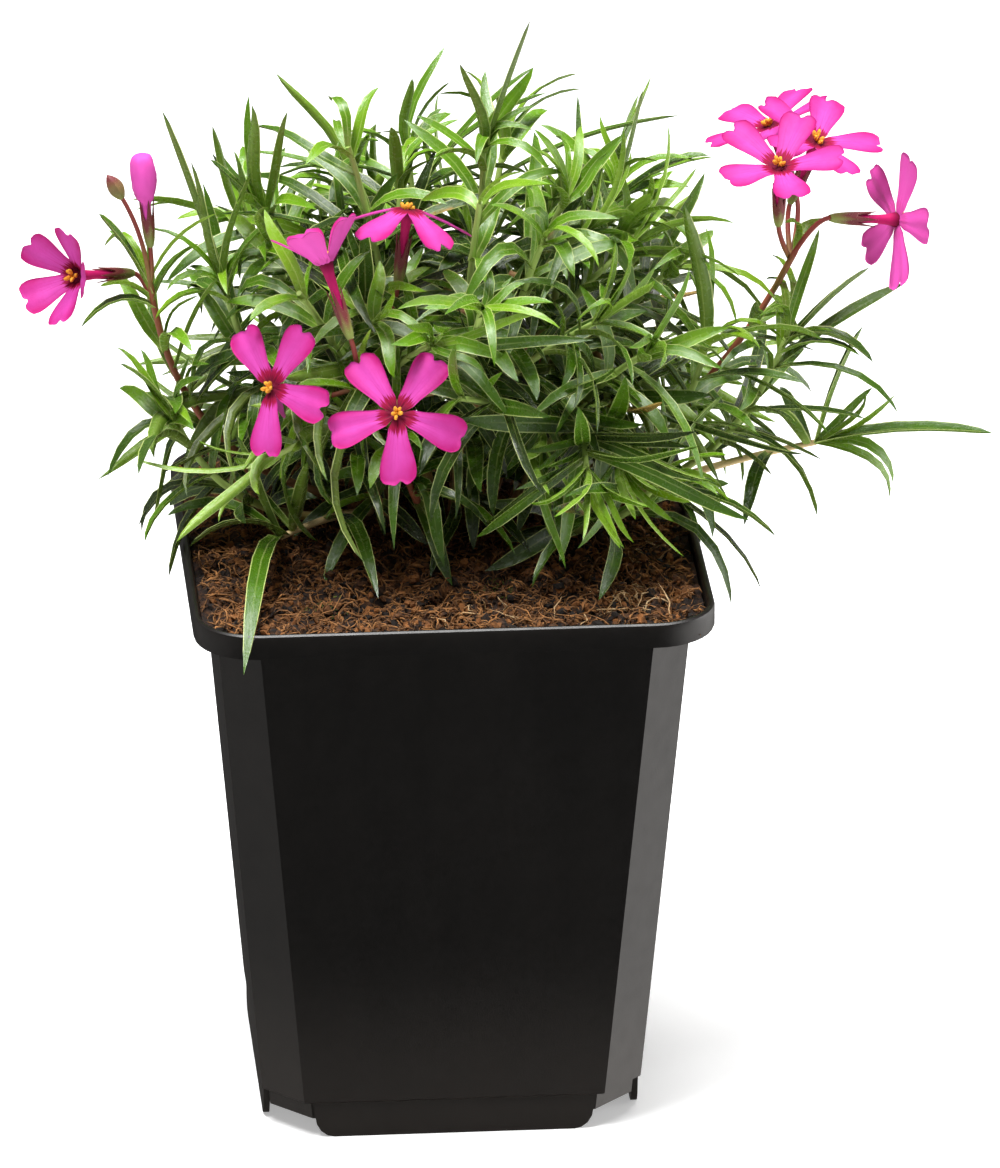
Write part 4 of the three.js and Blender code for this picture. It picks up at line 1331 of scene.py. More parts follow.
class Finish(Wiring):
    """A material in the making, with a Principled shader."""

    def __init__(self, name: str, **constants: object) -> None:
        """Makes the material.

        Args:
            name: its name.
            constants: values of the shader's inputs, with _ for a space.
        """
        self.material = bpy.data.materials.new(name)
        self.material.use_nodes = True
        super().__init__(self.material.node_tree)
        self.shader = self.tree.nodes["Principled BSDF"]
        for key, value in constants.items():
            self.shader.inputs[key.replace("_", " ")].default_value = value

    def feed(self, name: str, value: Socket) -> None:
        """Links a value to an input of the shader."""
        self.tree.links.new(value, self.shader.inputs[name])

    def place(self) -> Socket:
        """Returns the place on the object, in metres."""
        return self.node("ShaderNodeTexCoord").outputs["Object"]

    def mark(self, name: str) -> Socket:
        """Returns a number kept on the mesh."""
        return self.node("ShaderNodeAttribute", attribute_name=name).outputs["Fac"]

    def over_uv(self) -> tuple[Socket, Socket]:
        """Returns the two coordinates of the mesh's UV map."""
        flat = self.out("ShaderNodeUVMap", uv_map="UVMap")
        split = self.node("ShaderNodeSeparateXYZ", {0: flat})
        return split.outputs[0], split.outputs[1]

    def off_middle(self, share: Socket) -> Socket:
        """Returns how far a share is from a half."""
        return self.number("ABSOLUTE", self.number("SUBTRACT", share, 0.5))

    def ramp(self, value: Socket, *stops: tuple[float, str]) -> Socket:
        """Reads a colour from a ramp.

        Args:
            value: the place on the ramp.
            stops: places on it, rising, each with its colour.

        Returns:
            The colour.
        """
        made = self.node("ShaderNodeValToRGB", {0: value})
        ramp = made.color_ramp
        while len(ramp.elements) < len(stops):
            ramp.elements.new(0.5)
        for element, (at, code) in zip(ramp.elements, stops):
            element.position = at
            element.color = tint(code)
        return made.outputs[0]

    def band(self, value: Socket, low: float, high: float) -> Socket:
        """Masks by a value.

        Args:
            value: the value.
            low: where the mask is 0.
            high: where it is 1, which may be the lesser of the two.

        Returns:
            The mask, which changes smoothly between them.
        """
        first = 0.0 if low < high else 1.0
        limits = {0: value, 1: min(low, high), 2: max(low, high), 3: first, 4: 1.0 - first}
        return self.out("ShaderNodeMapRange", limits, interpolation_type="SMOOTHSTEP")

    def coat(self, base: Socket, code: str, mask: Socket, share: float = 1.0) -> Socket:
        """Lays a colour over another.

        Args:
            base: the colour below.
            code: the colour on top.
            mask: where it lies.
            share: how much of it the mask's 1 gives.

        Returns:
            The two together.
        """
        laid = {0: self.times(mask, share), 6: base, 7: tint(code)}
        return self.node("ShaderNodeMix", laid, data_type="RGBA").outputs[2]

    def shared(self, group: SharedGroup, *values: object) -> Socket:
        """Returns what a shared group gives for its inputs' values."""
        tree = bpy.data.node_groups[group.value]
        return self.out("ShaderNodeGroup", dict(enumerate(values)), node_tree=tree)

    def mottled(self, where: Socket, scale: float, depth: float) -> Socket:
        """Returns small changes about 0."""
        return self.shared(SharedGroup.MOTTLE, where, scale, depth)

    def relief(self, where: Socket, scale: float, strength: float, depth: float) -> None:
        """Gives the surface a fine relief."""
        self.feed("Normal", self.shared(SharedGroup.RELIEF, where, scale, strength, depth))


@dataclass(frozen=True)
class LeafFinish:
    """A narrow leaf: bright when young, blue-green when old, with a pale rib and margins that are
    partly its own colour and partly painted highlight.
    """

    young: str = "88AC24"
    fresh: str = "5C880E"
    grown: str = "3E620C"
    old: str = "243808"
    foot: str = "A3BC5A"
    back: str = "93A94E"
    # colour of the rib and margins: partly their own, partly painted highlight
    pale: str = "CBD784"
    straw: str = "9A7A40"

    def make(self) -> Material:
        """Makes the material.

        Returns:
            The material, which reads the marks tone, under and chance.
        """
        f = Finish("leaf_blade", Specular_IOR_Level=0.75)
        u, v = f.over_uv()
        where, chance = f.place(), f.mark("chance")
        tone = f.plus(f.mark("tone"), f.mottled(where, 180.0, 0.35))
        aside = f.off_middle(u)
        # The pale rib and margins are partly the leaf's own colour and partly painted highlight, for
        # the bright glints along them.
        rib = f.times(f.band(aside, 0.06, 0.015), f.band(v, 0.95, 0.1))
        margin = f.times(f.band(aside, 0.43, 0.47), f.band(tone, -0.1, 0.4))
        dead = f.times(f.band(chance, 0.95, 0.96), f.band(tone, 0.8, 0.85))
        base = f.ramp(tone, (0.0, self.young), (0.3, self.fresh), (0.62, self.grown), (1.0, self.old))
        base = f.coat(base, self.foot, f.band(v, 0.22, 0.0), 0.45)
        base = f.coat(base, self.pale, rib, 0.4)
        base = f.coat(base, self.pale, margin, 0.75)
        base = f.coat(base, self.back, f.mark("under"), 0.35)
        f.feed("Base Color", f.coat(base, self.straw, dead, 0.85))
        f.feed("Roughness", f.plus(f.mottled(where, 900.0, 0.25), 0.26))
        grain = f.out("ShaderNodeCombineXYZ", {0: f.times(u, 14.0), 1: v, 2: chance})
        f.relief(grain, 2.2, 0.35, 0.0003)
        return f.material


@dataclass(frozen=True)
class StemFinish:
    """A stem: tan and reddish low down, pale green above."""

    name: str
    low: str
    high: str
    rough: float = 0.6

    def make(self) -> Material:
        """Returns the material."""
        f = Finish(self.name, Roughness=self.rough)
        where = f.place()
        rise = f.plus(f.mark("rise"), f.mottled(where, 250.0, 0.5))
        f.feed("Base Color", f.ramp(rise, (0.12, self.low), (0.6, self.high)))
        f.relief(where, 1500.0, 0.3, 0.0002)
        return f.material


@dataclass(frozen=True)
class PetalFinish:
    """A petal: bright pink with a crimson eye, fine veins and a paler back, partly its own colour and
    partly painted light shining through it.
    """

    bright: str = "AA186C"
    light: str = "C0429E"
    # colour of the back: partly its own, partly painted light shining through the petal
    back: str = "EC5EC0"
    eye: str = "8C0636"
    deep: str = "4E0420"
    tube: str = "B0185C"

    def make(self) -> Material:
        """Makes the material.

        Returns:
            The material, which reads the marks under and tube.
        """
        f = Finish("petal", Roughness=0.65, Specular_IOR_Level=0.15)
        u, v = f.over_uv()
        where = f.place()
        aside = f.off_middle(u)
        across = f.times(f.times(aside, aside), 2.4)
        outward = f.times(f.times(v, v), 0.5)
        rim = f.plus(f.plus(across, outward), f.mottled(where, 260.0, 0.7))
        base = f.ramp(rim, (0.12, self.light), (0.85, self.bright))
        spokes = f.out("ShaderNodeCombineXYZ", {0: f.times(u, 16.0), 1: v, 2: 0.0})
        rays = f.out("ShaderNodeTexNoise", {"Vector": spokes, "Scale": 1.0, "Detail": 2.0})
        veins = f.times(f.band(rays, 0.5, 0.62), f.band(v, 0.9, 0.3))
        reach = f.plus(v, f.times(f.number("SUBTRACT", 0.5, rays), 0.35))
        eye = f.band(f.plus(reach, f.times(aside, 0.1)), 0.31, 0.25)
        base = f.coat(base, self.bright, veins, 0.3)
        base = f.coat(base, self.eye, eye)
        base = f.coat(base, self.deep, f.band(reach, 0.2, 0.08), 0.8)
        # The paler back is partly the petal's own colour and partly painted light, for the light that
        # shines through the petal.
        base = f.coat(base, self.back, f.mark("under"), 0.65)
        f.feed("Base Color", f.coat(base, self.tube, f.mark("tube")))
        f.relief(where, 2500.0, 0.25, 0.0002)
        return f.material


@dataclass(frozen=True)
class SpeckFinish:
    """A finish of two colours that changes from speck to speck, for peat, fibres and pollen."""

    name: str
    dark: str
    light: str
    scale: float
    rough: float = 0.9
    bump: float = 0.5

    def make(self) -> Material:
        """Returns the material."""
        f = Finish(self.name, Roughness=self.rough)
        where = f.place()
        spread = f.plus(f.mottled(where, self.scale, 1.5), f.mark("chance"))
        f.feed("Base Color", f.ramp(spread, (0.25, self.dark), (1.1, self.light)))
        f.relief(where, self.scale * 3, self.bump, 0.0005)
        return f.material


@dataclass(frozen=True)
class PeatFinish:
    """The soil under its fibres: dark red-brown peat with lighter crumbs."""

    wet: str = "0A0502"
    dark: str = "211108"
    brown: str = "4E2E13"
    light: str = "9A642C"

    def make(self) -> Material:
        """Returns the material."""
        f = Finish("peat", Roughness=0.95)
        where = f.place()
        cloud = f.plus(f.mottled(where, 120.0, 0.9), f.mottled(where, 900.0, 0.9))
        stops = ((0.2, self.wet), (0.45, self.dark), (0.65, self.brown), (0.9, self.light))
        f.feed("Base Color", f.ramp(f.plus(cloud, 0.5), *stops))
        f.relief(where, 1400.0, 0.8, 0.001)
        return f.material


@dataclass(frozen=True)
class PotFinish:
    """Black moulded plastic with a satin skin, faint flow marks, and painted bounce light from the
    floor towards its foot.
    """

    dark: str = "0C0907"
    light: str = "18130F"
    # colour of the painted bounce light from the floor on the pot's foot
    painted_bounce: str = "332D28"

    def make(self) -> Material:
        """Returns the material."""
        f = Finish("black_plastic", Specular_IOR_Level=0.5)
        where = f.place()
        stretched = f.vector("MULTIPLY", where, (1.0, 1.0, 0.25))
        marks = f.plus(f.mottled(stretched, 60.0, 0.8), f.mottled(where, 900.0, 0.5))
        base = f.ramp(f.plus(marks, 0.4), (0.3, self.dark), (0.95, self.light))
        height = f.node("ShaderNodeSeparateXYZ", {0: where}).outputs[2]
        # Lighter in the lowest 40 mm: painted bounce light from the floor.
        f.feed("Base Color", f.coat(base, self.painted_bounce, f.band(height, 0.04, 0.0), 0.5))
        f.feed("Roughness", f.plus(f.mottled(where, 300.0, 0.2), 0.38))
        f.relief(where, 3500.0, 0.12, 0.0002)
        return f.material


class Finishes:
    """Every finish of the plant and its pot."""

    def __init__(self) -> None:
        """Makes the materials."""
        shader_groups()
        self.leaf = LeafFinish().make()
        self.stem = StemFinish("stem", "A9784C", "A3BC62").make()
        self.flowering = StemFinish("flowering_stem", "B58A5C", "955038").make()
        self.runner = StemFinish("runner", "BE945C", "D8BE88").make()
        self.stalk = StemFinish("flower_stalk", "8A6A38", "86342C").make()
        self.calyx = StemFinish("calyx", "7E8A40", "6E2A2C").make()
        self.down = SpeckFinish("down", "A8A884", "D8D2B4", 500.0, 0.7).make()
        self.petal = PetalFinish().make()
        self.anther = SpeckFinish("anther", "D9821A", "F6C23A", 900.0, 0.75).make()
        self.peat = PeatFinish().make()
        self.fibre = SpeckFinish("peat_fibre", "1A0B04", "CE8E50", 500.0).make()
        self.crumb = SpeckFinish("peat_crumb", "140A04", "885527", 400.0).make()
        self.rootlet = SpeckFinish("rootlet", "A87C4A", "E6CDA0", 700.0, 0.8).make()
        self.moss = SpeckFinish("moss", "2F3A14", "6C7A26", 900.0).make()
        self.pot = PotFinish().make()


# ---- The pieces ----


def keep(piece: Object, slot: str, *nodes: str) -> Object:
    """Puts a finished piece on the frame.

    Args:
        piece: the piece.
        slot: a material slot of the record; not used.
        nodes: the nodes of the solids that it stands for.

    Returns:
        The piece.
    """
    marks = piece.data.attributes
    for name in "root middle tip across aside along lift width roll curl sway".split():
        if name in marks:
            marks.remove(marks[name])
    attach(piece, "root")
    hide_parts(*nodes)
    piece.data.calc_loop_triangles()
    log.info("%s: %d triangles", piece.name, len(piece.data.loop_triangles))
    return piece


@dataclass
class Blade:
    """The blade that every leaf is bent from: unit length, and half width 1 at its widest."""

    outline: tuple[Pair, ...] = (
        (0, 0.5), (0.12, 0.76), (0.28, 0.96), (0.45, 1.0), (0.63, 0.95), (0.79, 0.76), (0.92, 0.4),
    )
    trough: float = 0.48
    thick: float = 0.24
    keel: float = 0.2
    drawn_length: float = 10.0

    def build(self) -> Object:
        """Makes the blade. Its marks say where on a leaf each corner lies.

        Returns:
            The blade, as a help object.
        """
        corners: list[tuple[float, float, float, float]] = []
        uvs: list[Pair] = []
        for v, size in self.outline:
            # Counter-clockwise seen from the foot towards the tip's side: over the top, back below.
            ring = [(u, self.trough * u * u, 0.0) for u in (-1.0, 0.0, 1.0)]
            ring += [
                (u, self.trough * u * u - self.thick - (0 if u else self.keel), 1.0)
                for u in (0.55, 0.0, -0.55)
            ]
            for u, h, below in ring:
                corners.append((u * size, v, h * MM * (0.4 + 0.6 * size), below))
                uvs.append((u / 2 + 0.5, v))
        count, tip = len(ring), len(corners)
        corners.append((0.0, 1.0, 0.0, 0.0))
        uvs.append((0.5, 1.0))
        faces = [tuple(reversed(face)) for face in rings_to_faces(count, len(self.outline))]
        last = tip - count
        faces += [(last + (i + 1) % count, last + i, tip) for i in range(count)]
        faces.append(tuple(range(count)))
        marks = dict(zip(("aside", "along", "lift", "under"), zip(*corners)))
        points = [(x, y * self.drawn_length, z / MM) for x, y, z, _ in corners]
        return link("blade", make_mesh("blade", points, faces, marks, uvs), helper=True)


@dataclass
class LeafyStem:
    """One stem of the plant with its side shoots, leaves, flower stalks and calyces."""

    stem: Stem
    number: int
    finishes: Finishes
    blade: Object
    shoot: GeometryTree
    strewn: GeometryTree
    hair: Object
    sides: int = 7

    def _lines(self, name: str, stalks: bool) -> Object:
        """Draws the middle lines of the stems, or of the flower stalks.

        Args:
            name: the help object's name.
            stalks: whether the stalks are meant.

        Returns:
            The lines, with a radius at each point.
        """
        steps, taper = 14, 0.85 if stalks else 0.62
        data = bpy.data.curves.new(name, "CURVE")
        data.dimensions = "3D"
        for branch in self.stem.branches:
            if branch.stalk != stalks:
                continue
            start = branch.thick / 2
            line = [point_on(branch.curve, i / steps) for i in range(steps + 1)]
            radii = [mix(start, start * taper, i / steps) for i in range(steps + 1)]
            if branch.foot:
                line.insert(0, plus(line[0], UP, -FOOT_DEPTH - 0.3))
                radii.insert(0, start)
            spline = data.splines.new("POLY")
            spline.points.add(len(line) - 1)
            for point, place, radius in zip(spline.points, line, radii):
                point.co = (*times(place, MM), 1.0)
                point.radius = radius * MM
        return link(name, data, helper=True)

    def _stem_finish(self) -> Material:
        """Returns the finish of the stem's skin."""
        if self.stem.flowers:
            return self.finishes.flowering
        return self.finishes.runner if self.stem.name.startswith("runner") else self.finishes.stem

    @staticmethod
    def _leaf_points(leaves: Sequence[Leaf]) -> Object:
        """Makes one point for each leaf, with all that shapes it.

        Args:
            leaves: the leaves.

        Returns:
            The points, as a help object.
        """
        mesh = bpy.data.meshes.new("leaf_points")
        mesh.from_pydata([times(leaf.curve[0], MM) for leaf in leaves], [], [])
        for i, name in enumerate(("root", "middle", "tip", "across")):
            layer = mesh.attributes.new(name, "FLOAT_VECTOR", "POINT")
            ways = [times(leaf.curve[i], MM) if i < 3 else leaf.across for leaf in leaves]
            layer.data.foreach_set("vector", [c for way in ways for c in way])
        for names, scale in ((("width", "curl", "sway"), MM), (("tone", "chance", "roll"), 1.0)):
            for name in names:
                layer = mesh.attributes.new(name, "FLOAT", "POINT")
                layer.data.foreach_set("value", [getattr(leaf, name) * scale for leaf in leaves])
        return link("leaf_points", mesh)

    def build(self) -> Object:
        """Grows the stem, and the calyces with their down.

        Returns:
            The finished piece.
        """
        foliation = Foliation(self.stem, self.number)
        solid = foliation.solid_leaves()
        leaves = solid + foliation.young_leaves()
        log.info("%s: %d leaves over the solid's, %d in all", self.stem.name, len(solid), len(leaves))
        host = self._leaf_points(leaves)
        stems, stalks = self._lines("stem_lines", False), self._lines("stalk_lines", True)
        mesh = self.shoot.grow(
            host, Blade=self.blade, Stems=stems, Stalks=stalks, Sides=self.sides,
            LeafFinish=self.finishes.leaf, StemFinish=self._stem_finish(),
            StalkFinish=self.finishes.stalk,
        )
        for helper in (host, stems, stalks):
            drop(helper)
        parts = [link(f"{self.stem.name}_growth", mesh)]
        cups = [calyx(FLOWERS[name]) for name in self.stem.flowers]
        if self.stem.buds:
            cups = [green_bud(), *cups, calyx(BUD)]
        parts += [dressed(cup, self.finishes.calyx) for cup in cups]
        for cup in parts[1:]:
            hairs = self.strewn.grow(
                cup, Piece=self.hair, Density=3.0e6, Smallest=0.4, Largest=0.9, Sink=-0.00002,
                Upright=0.7, Seed=3, Finish=self.finishes.down,
            )
            parts.append(link("hairs", hairs))
        piece = join(f"{self.stem.name}_grown", parts)
        piece.data.set_sharp_from_angle(angle=radians(55))
        return keep(piece, "leaf", self.stem.name)


def calyx(flower: Flower) -> Mesh:
    """Makes a calyx: a ribbed cup with five slender teeth, open round the flower's tube.

    Args:
        flower: the flower that it holds.

    Returns:
        Its mesh.
    """
    around, levels, foot = 30, 9, -13.2
    outer = ((foot, 0.6), (-12.2, 0.85), (-10, 1.08), (-8, 1.18), (-6, 1.24), (-4.2, 1.4))
    inner = ((foot, 0.4), (-12, 0.68), (-10, 0.86), (-8, 0.95), (-6, 1.05), (-4.2, 1.22))
    points: list[Point] = []
    rises: list[float] = []
    uvs: list[Pair] = []
    for profile, order in ((outer, range(levels)), (inner, reversed(range(levels)))):
        for level in order:
            for i in range(around):
                angle = i / around * tau
                tooth = abs(((angle / tau * 5) % 1) * 2 - 1)
                z = mix(foot, -8.2 + 4.0 * tooth**1.6, level / (levels - 1))
                rib = 1 + 0.05 * cos(5 * angle)
                points.append(flower.place(*polar(through(profile, z) * rib, angle), z))
                rises.append(level / (levels - 1))
                uvs.append((i / around, level / levels))
    return make_mesh("calyx", points, capped(around, 2 * levels), {"rise": rises}, uvs)


def lathe(
    flower: Flower, profile: Sequence[Pair], around: int,
    lobes: Callable[[float, float], float] = lambda angle, z: 1.0,
) -> tuple[list[Point], Faces, list[Pair]]:
    """Makes a closed round form about a flower's axis.

    Args:
        flower: the flower whose axis it follows.
        profile: heights, rising, each with its radius.
        around: corners around.
        lobes: the radius as a share of the profile's, from the angle and height.

    Returns:
        Its points, faces and UV pairs.
    """
    points: list[Point] = []
    uvs: list[Pair] = []
    for row, (z, radius) in enumerate(profile):
        for i in range(around):
            angle = i / around * tau
            points.append(flower.place(*polar(radius * lobes(angle, z), angle), z))
            uvs.append((i / around, row / len(profile)))
    return points, capped(around, len(profile)), uvs


def green_bud() -> Mesh:
    """Returns the closed green bud, wrapped in its ribbed calyx."""
    knots = ((-0.4, 0.5), (0.6, 1.05), (1.8, 1.35), (3, 1.15), (4, 0.6), (4.6, 0.08))
    profile = [(z, through(knots, z)) for z in (-0.4 + 5.0 * i / 10 for i in range(11))]
    points, faces, uvs = lathe(GREEN_BUD, profile, 15, lambda a, z: 1 + 0.1 * cos(5 * a))
    rise = [0.2 + 0.5 * i / len(points) for i in range(len(points))]
    return make_mesh("green_bud", points, faces, {"rise": rise}, uvs)


@dataclass
class Corolla:
    """The petals and tube of one flower."""

    name: str
    flower: Flower
    finishes: Finishes
    half_widths: tuple[Pair, ...] = (
        (0, 0.45), (1.1, 0.75), (2.3, 1.5), (4, 1.8), (6, 2.35), (8, 2.9), (10, 3.2), (12.1, 3.05),
    )
    folded_back: float = -1.15
    notch_half: float = 0.17
    crease_half: float = 0.16
    sag: float = 0.011
    hollow: float = 0.02
    half_thick: float = 0.13
    rows: int = 15
    columns: int = 15

    def _petal(self, shape: Shape, k: int, draw: Draws) -> None:
        """Adds one petal: two faces that meet along its edge.

        Args:
            shape: what it is added to.
            k: its number, counted round the axis.
            draw: the draws that make it differ from the others.
        """
        cup = self.folded_back if k == self.flower.folded else self.flower.cup
        cup += draw.between(-0.05, 0.05)
        turn = k / 5 * tau + draw.between(-0.03, 0.03)
        notch, skew = draw.between(0.5, 1.1), draw.between(-0.6, 0.6)
        ragged = draw.between(0.06, 0.16)
        wave, phase = draw.between(0.1, 0.24), draw.between(0, 6)

        def at(s: float, t: float, lift: float) -> Point:
            """Places a point of the petal.

            Args:
                s: its share of the length.
                t: its share of the half width, from -1 to 1.
                lift: how far it stands off the petal's middle layer.

            Returns:
                The point.
            """
            full = s * PETAL_LENGTH
            half = through(self.half_widths, full)
            end = notch * exp(-(((t - skew * 0.3) / self.notch_half) ** 2)) + 1.1 * abs(t) ** 5
            end += ragged * sin(9 * t + phase) + 0.25 * skew * t
            along = full - s**5 * end
            aside = half * t * (1 + 0.05 * skew * t)
            slope = max(0.0, along - 1.5) * sin(cup)
            ripple = wave * s * s * sin(2.3 * t + phase) + 0.12 * s * sin(7 * t + phase)
            crease = -0.14 * exp(-((t / self.crease_half) ** 2)) * (1 - s)
            bowl = slope - self.sag * along * along + self.hollow * aside * aside
            rise = bowl + lift + ripple + crease
            out = along * cos(cup)
            ahead, across = polar(1.0, turn)
            return self.flower.place(out * ahead - aside * across, out * across + aside * ahead, rise)

        points, uvs, under = [], [], []
        n = self.columns
        for lower in (False, True):
            for i in range(self.rows + 1):
                s = i / self.rows
                for j in range(n):
                    t = 2 * j / (n - 1) - 1
                    edge = max(abs(t) ** 6, s**10)
                    layer = -self.half_thick if lower else self.half_thick
                    lift = 0.36 + layer * (1 - 0.75 * edge)
                    points.append(at(0.02 + 0.98 * s, t, lift))
                    uvs.append((t / 2 + 0.5, s))
                    under.append(1.0 if lower else 0.0)
        upper = rings_to_faces(n, self.rows + 1, closed=False)
        offset = (self.rows + 1) * n
        faces = [(a, d, c, b) for a, b, c, d in upper]
        faces += [tuple(i + offset for i in face) for face in upper]
        rim = [i * n for i in range(self.rows + 1)]
        rim += [self.rows * n + j for j in range(1, n)]
        rim += [i * n + n - 1 for i in range(self.rows - 1, -1, -1)]
        rim += list(range(n - 2, 0, -1))
        for a, b in zip(rim, rim[1:] + rim[:1]):
            faces.append((a, b, b + offset, a + offset))
        shape.add(points, faces, uvs, under=under, tube=[0.0] * len(points))

    def build(self) -> Object:
        """Makes the petals and the tube.

        Returns:
            The finished piece.
        """
        shape, around = Shape(), 20
        draw = Draws(sum(map(ord, self.name)))
        for k in range(5):
            self._petal(shape, k, draw)
        top = 0.35 + 0.8 * max(0.0, sin(self.flower.cup))
        profile = [(-12, 0.5), (-11, 0.6), (-8, 0.68), (-4, 0.76), (-1.5, 0.95), (top - 0.3, 1.35)]
        profile += [(top, 1.32), (top - 0.3, 1.1), (-0.6, 0.8), (-2.6, 0.62), (-2.7, 0.3)]
        points, faces, _ = lathe(self.flower, profile, around)
        depth = [1.0 if z < -0.6 else 0.0 for z, _ in profile for _ in range(around)]
        middle = [(0.5, 0.05)] * len(points)
        shape.add(points, faces, middle, under=[0.0] * len(points), tube=depth)
        mesh = shape.mesh(f"corolla_{self.name}_petals")
        return keep(dressed(mesh, self.finishes.petal), "petal", f"corolla_{self.name}")


@dataclass
class Anthers:
    """The five pollen-covered anthers and the style in a flower's throat."""

    name: str
    flower: Flower
    finishes: Finishes
    length: float = 1.5
    radius: float = 0.4

    @staticmethod
    def _lobe(shape: Shape, centre: Point, direction: Point, length: float, radius: float) -> None:
        """Adds one long rounded lobe with a groove down its length.

        Args:
            shape: what it is added to.
            centre: its middle.
            direction: the way it lies.
            length: from end to end.
            radius: half its width.
        """
        around, rows = 8, 6
        u = unit(cross(direction, (0.31, 0.2, 0.93)))
        v = cross(direction, u)
        points, uvs = [], []
        for r in range(rows + 1):
            lean = pi * r / rows
            for i in range(around):
                angle = i / around * tau
                width = radius * sin(lean) * (1 - 0.3 * abs(cos(angle)) ** 8)
                x, y = polar(width, angle)
                p = plus(centre, direction, -cos(lean) * length / 2)
                points.append(plus(plus(p, u, x), v, y))
                uvs.append((i / around, r / rows))
        shape.add(points, rings_to_faces(around, rows + 1), uvs, chance=[0.55] * len(points))

    def build(self) -> Object:
        """Makes the anthers and the style.

        Returns:
            The finished piece.
        """
        shape = Shape()
        draw = Draws(300 + sum(map(ord, self.name)))
        lift = 1.4 * max(0.0, sin(self.flower.cup))
        for k in range(5):
            angle = (k + draw.between(-0.2, 0.2)) / 5 * tau
            away = draw.between(0.5, 0.95)
            height = lift + draw.between(0.3, 1.3)
            centre = self.flower.place(*polar(away, angle), height)
            lean = self.flower.place(*polar(away + 0.5, angle), height + 0.8)
            self._lobe(shape, centre, unit(plus(lean, centre, -1)), self.length, self.radius)
        self._lobe(shape, self.flower.place(0, 0, lift), unit(self.flower.axis), 3.4, 0.22)
        mesh = shape.mesh(f"anthers_{self.name}_lobes")
        return keep(dressed(mesh, self.finishes.anther), "anther", f"anthers_{self.name}")


@dataclass
class PinkBud:
    """The furled pink bud on its tube."""

    finishes: Finishes

    def build(self) -> Object:
        """Makes the bud.

        Returns:
            The finished piece.
        """
        knots = (
            (-12, 0.75), (-6, 0.8), (-5.2, 0.9), (-3.8, 1.7), (-1, 2.25), (2, 2.1), (3.3, 1.7),
            (3.8, 1.1), (4.0, 0.15),
        )
        heights = (
            -12, -9, -6, -5.4, -4.8, -4.2, -3.4, -2.4, -1.2, 0.2, 1.4, 2.4, 3.0, 3.4, 3.7, 3.9, 4.0
        )
        profile = [(z, through(knots, z)) for z in heights]

        def furl(angle: float, z: float) -> float:
            """Returns the overlap of the wound petals as a share of the radius."""
            wound = (angle * 5 / tau + 0.16 * z) % 1
            return 1.0 if z < -4.5 else 0.9 + 0.16 * wound

        points, faces, uvs = lathe(BUD, profile, 40, furl)
        outer = [(0.5, 0.35 + 0.5 * v) for _, v in uvs]
        # The bud's outside takes the petal's back colour, which is partly painted light shining
        # through the petal.
        marks = {"under": [0.85] * len(points), "tube": [0.0] * len(points)}
        mesh = make_mesh("pink_bud_furled", points, faces, marks, outer)
        return keep(dressed(mesh, self.finishes.petal), "petal", "pink_bud")


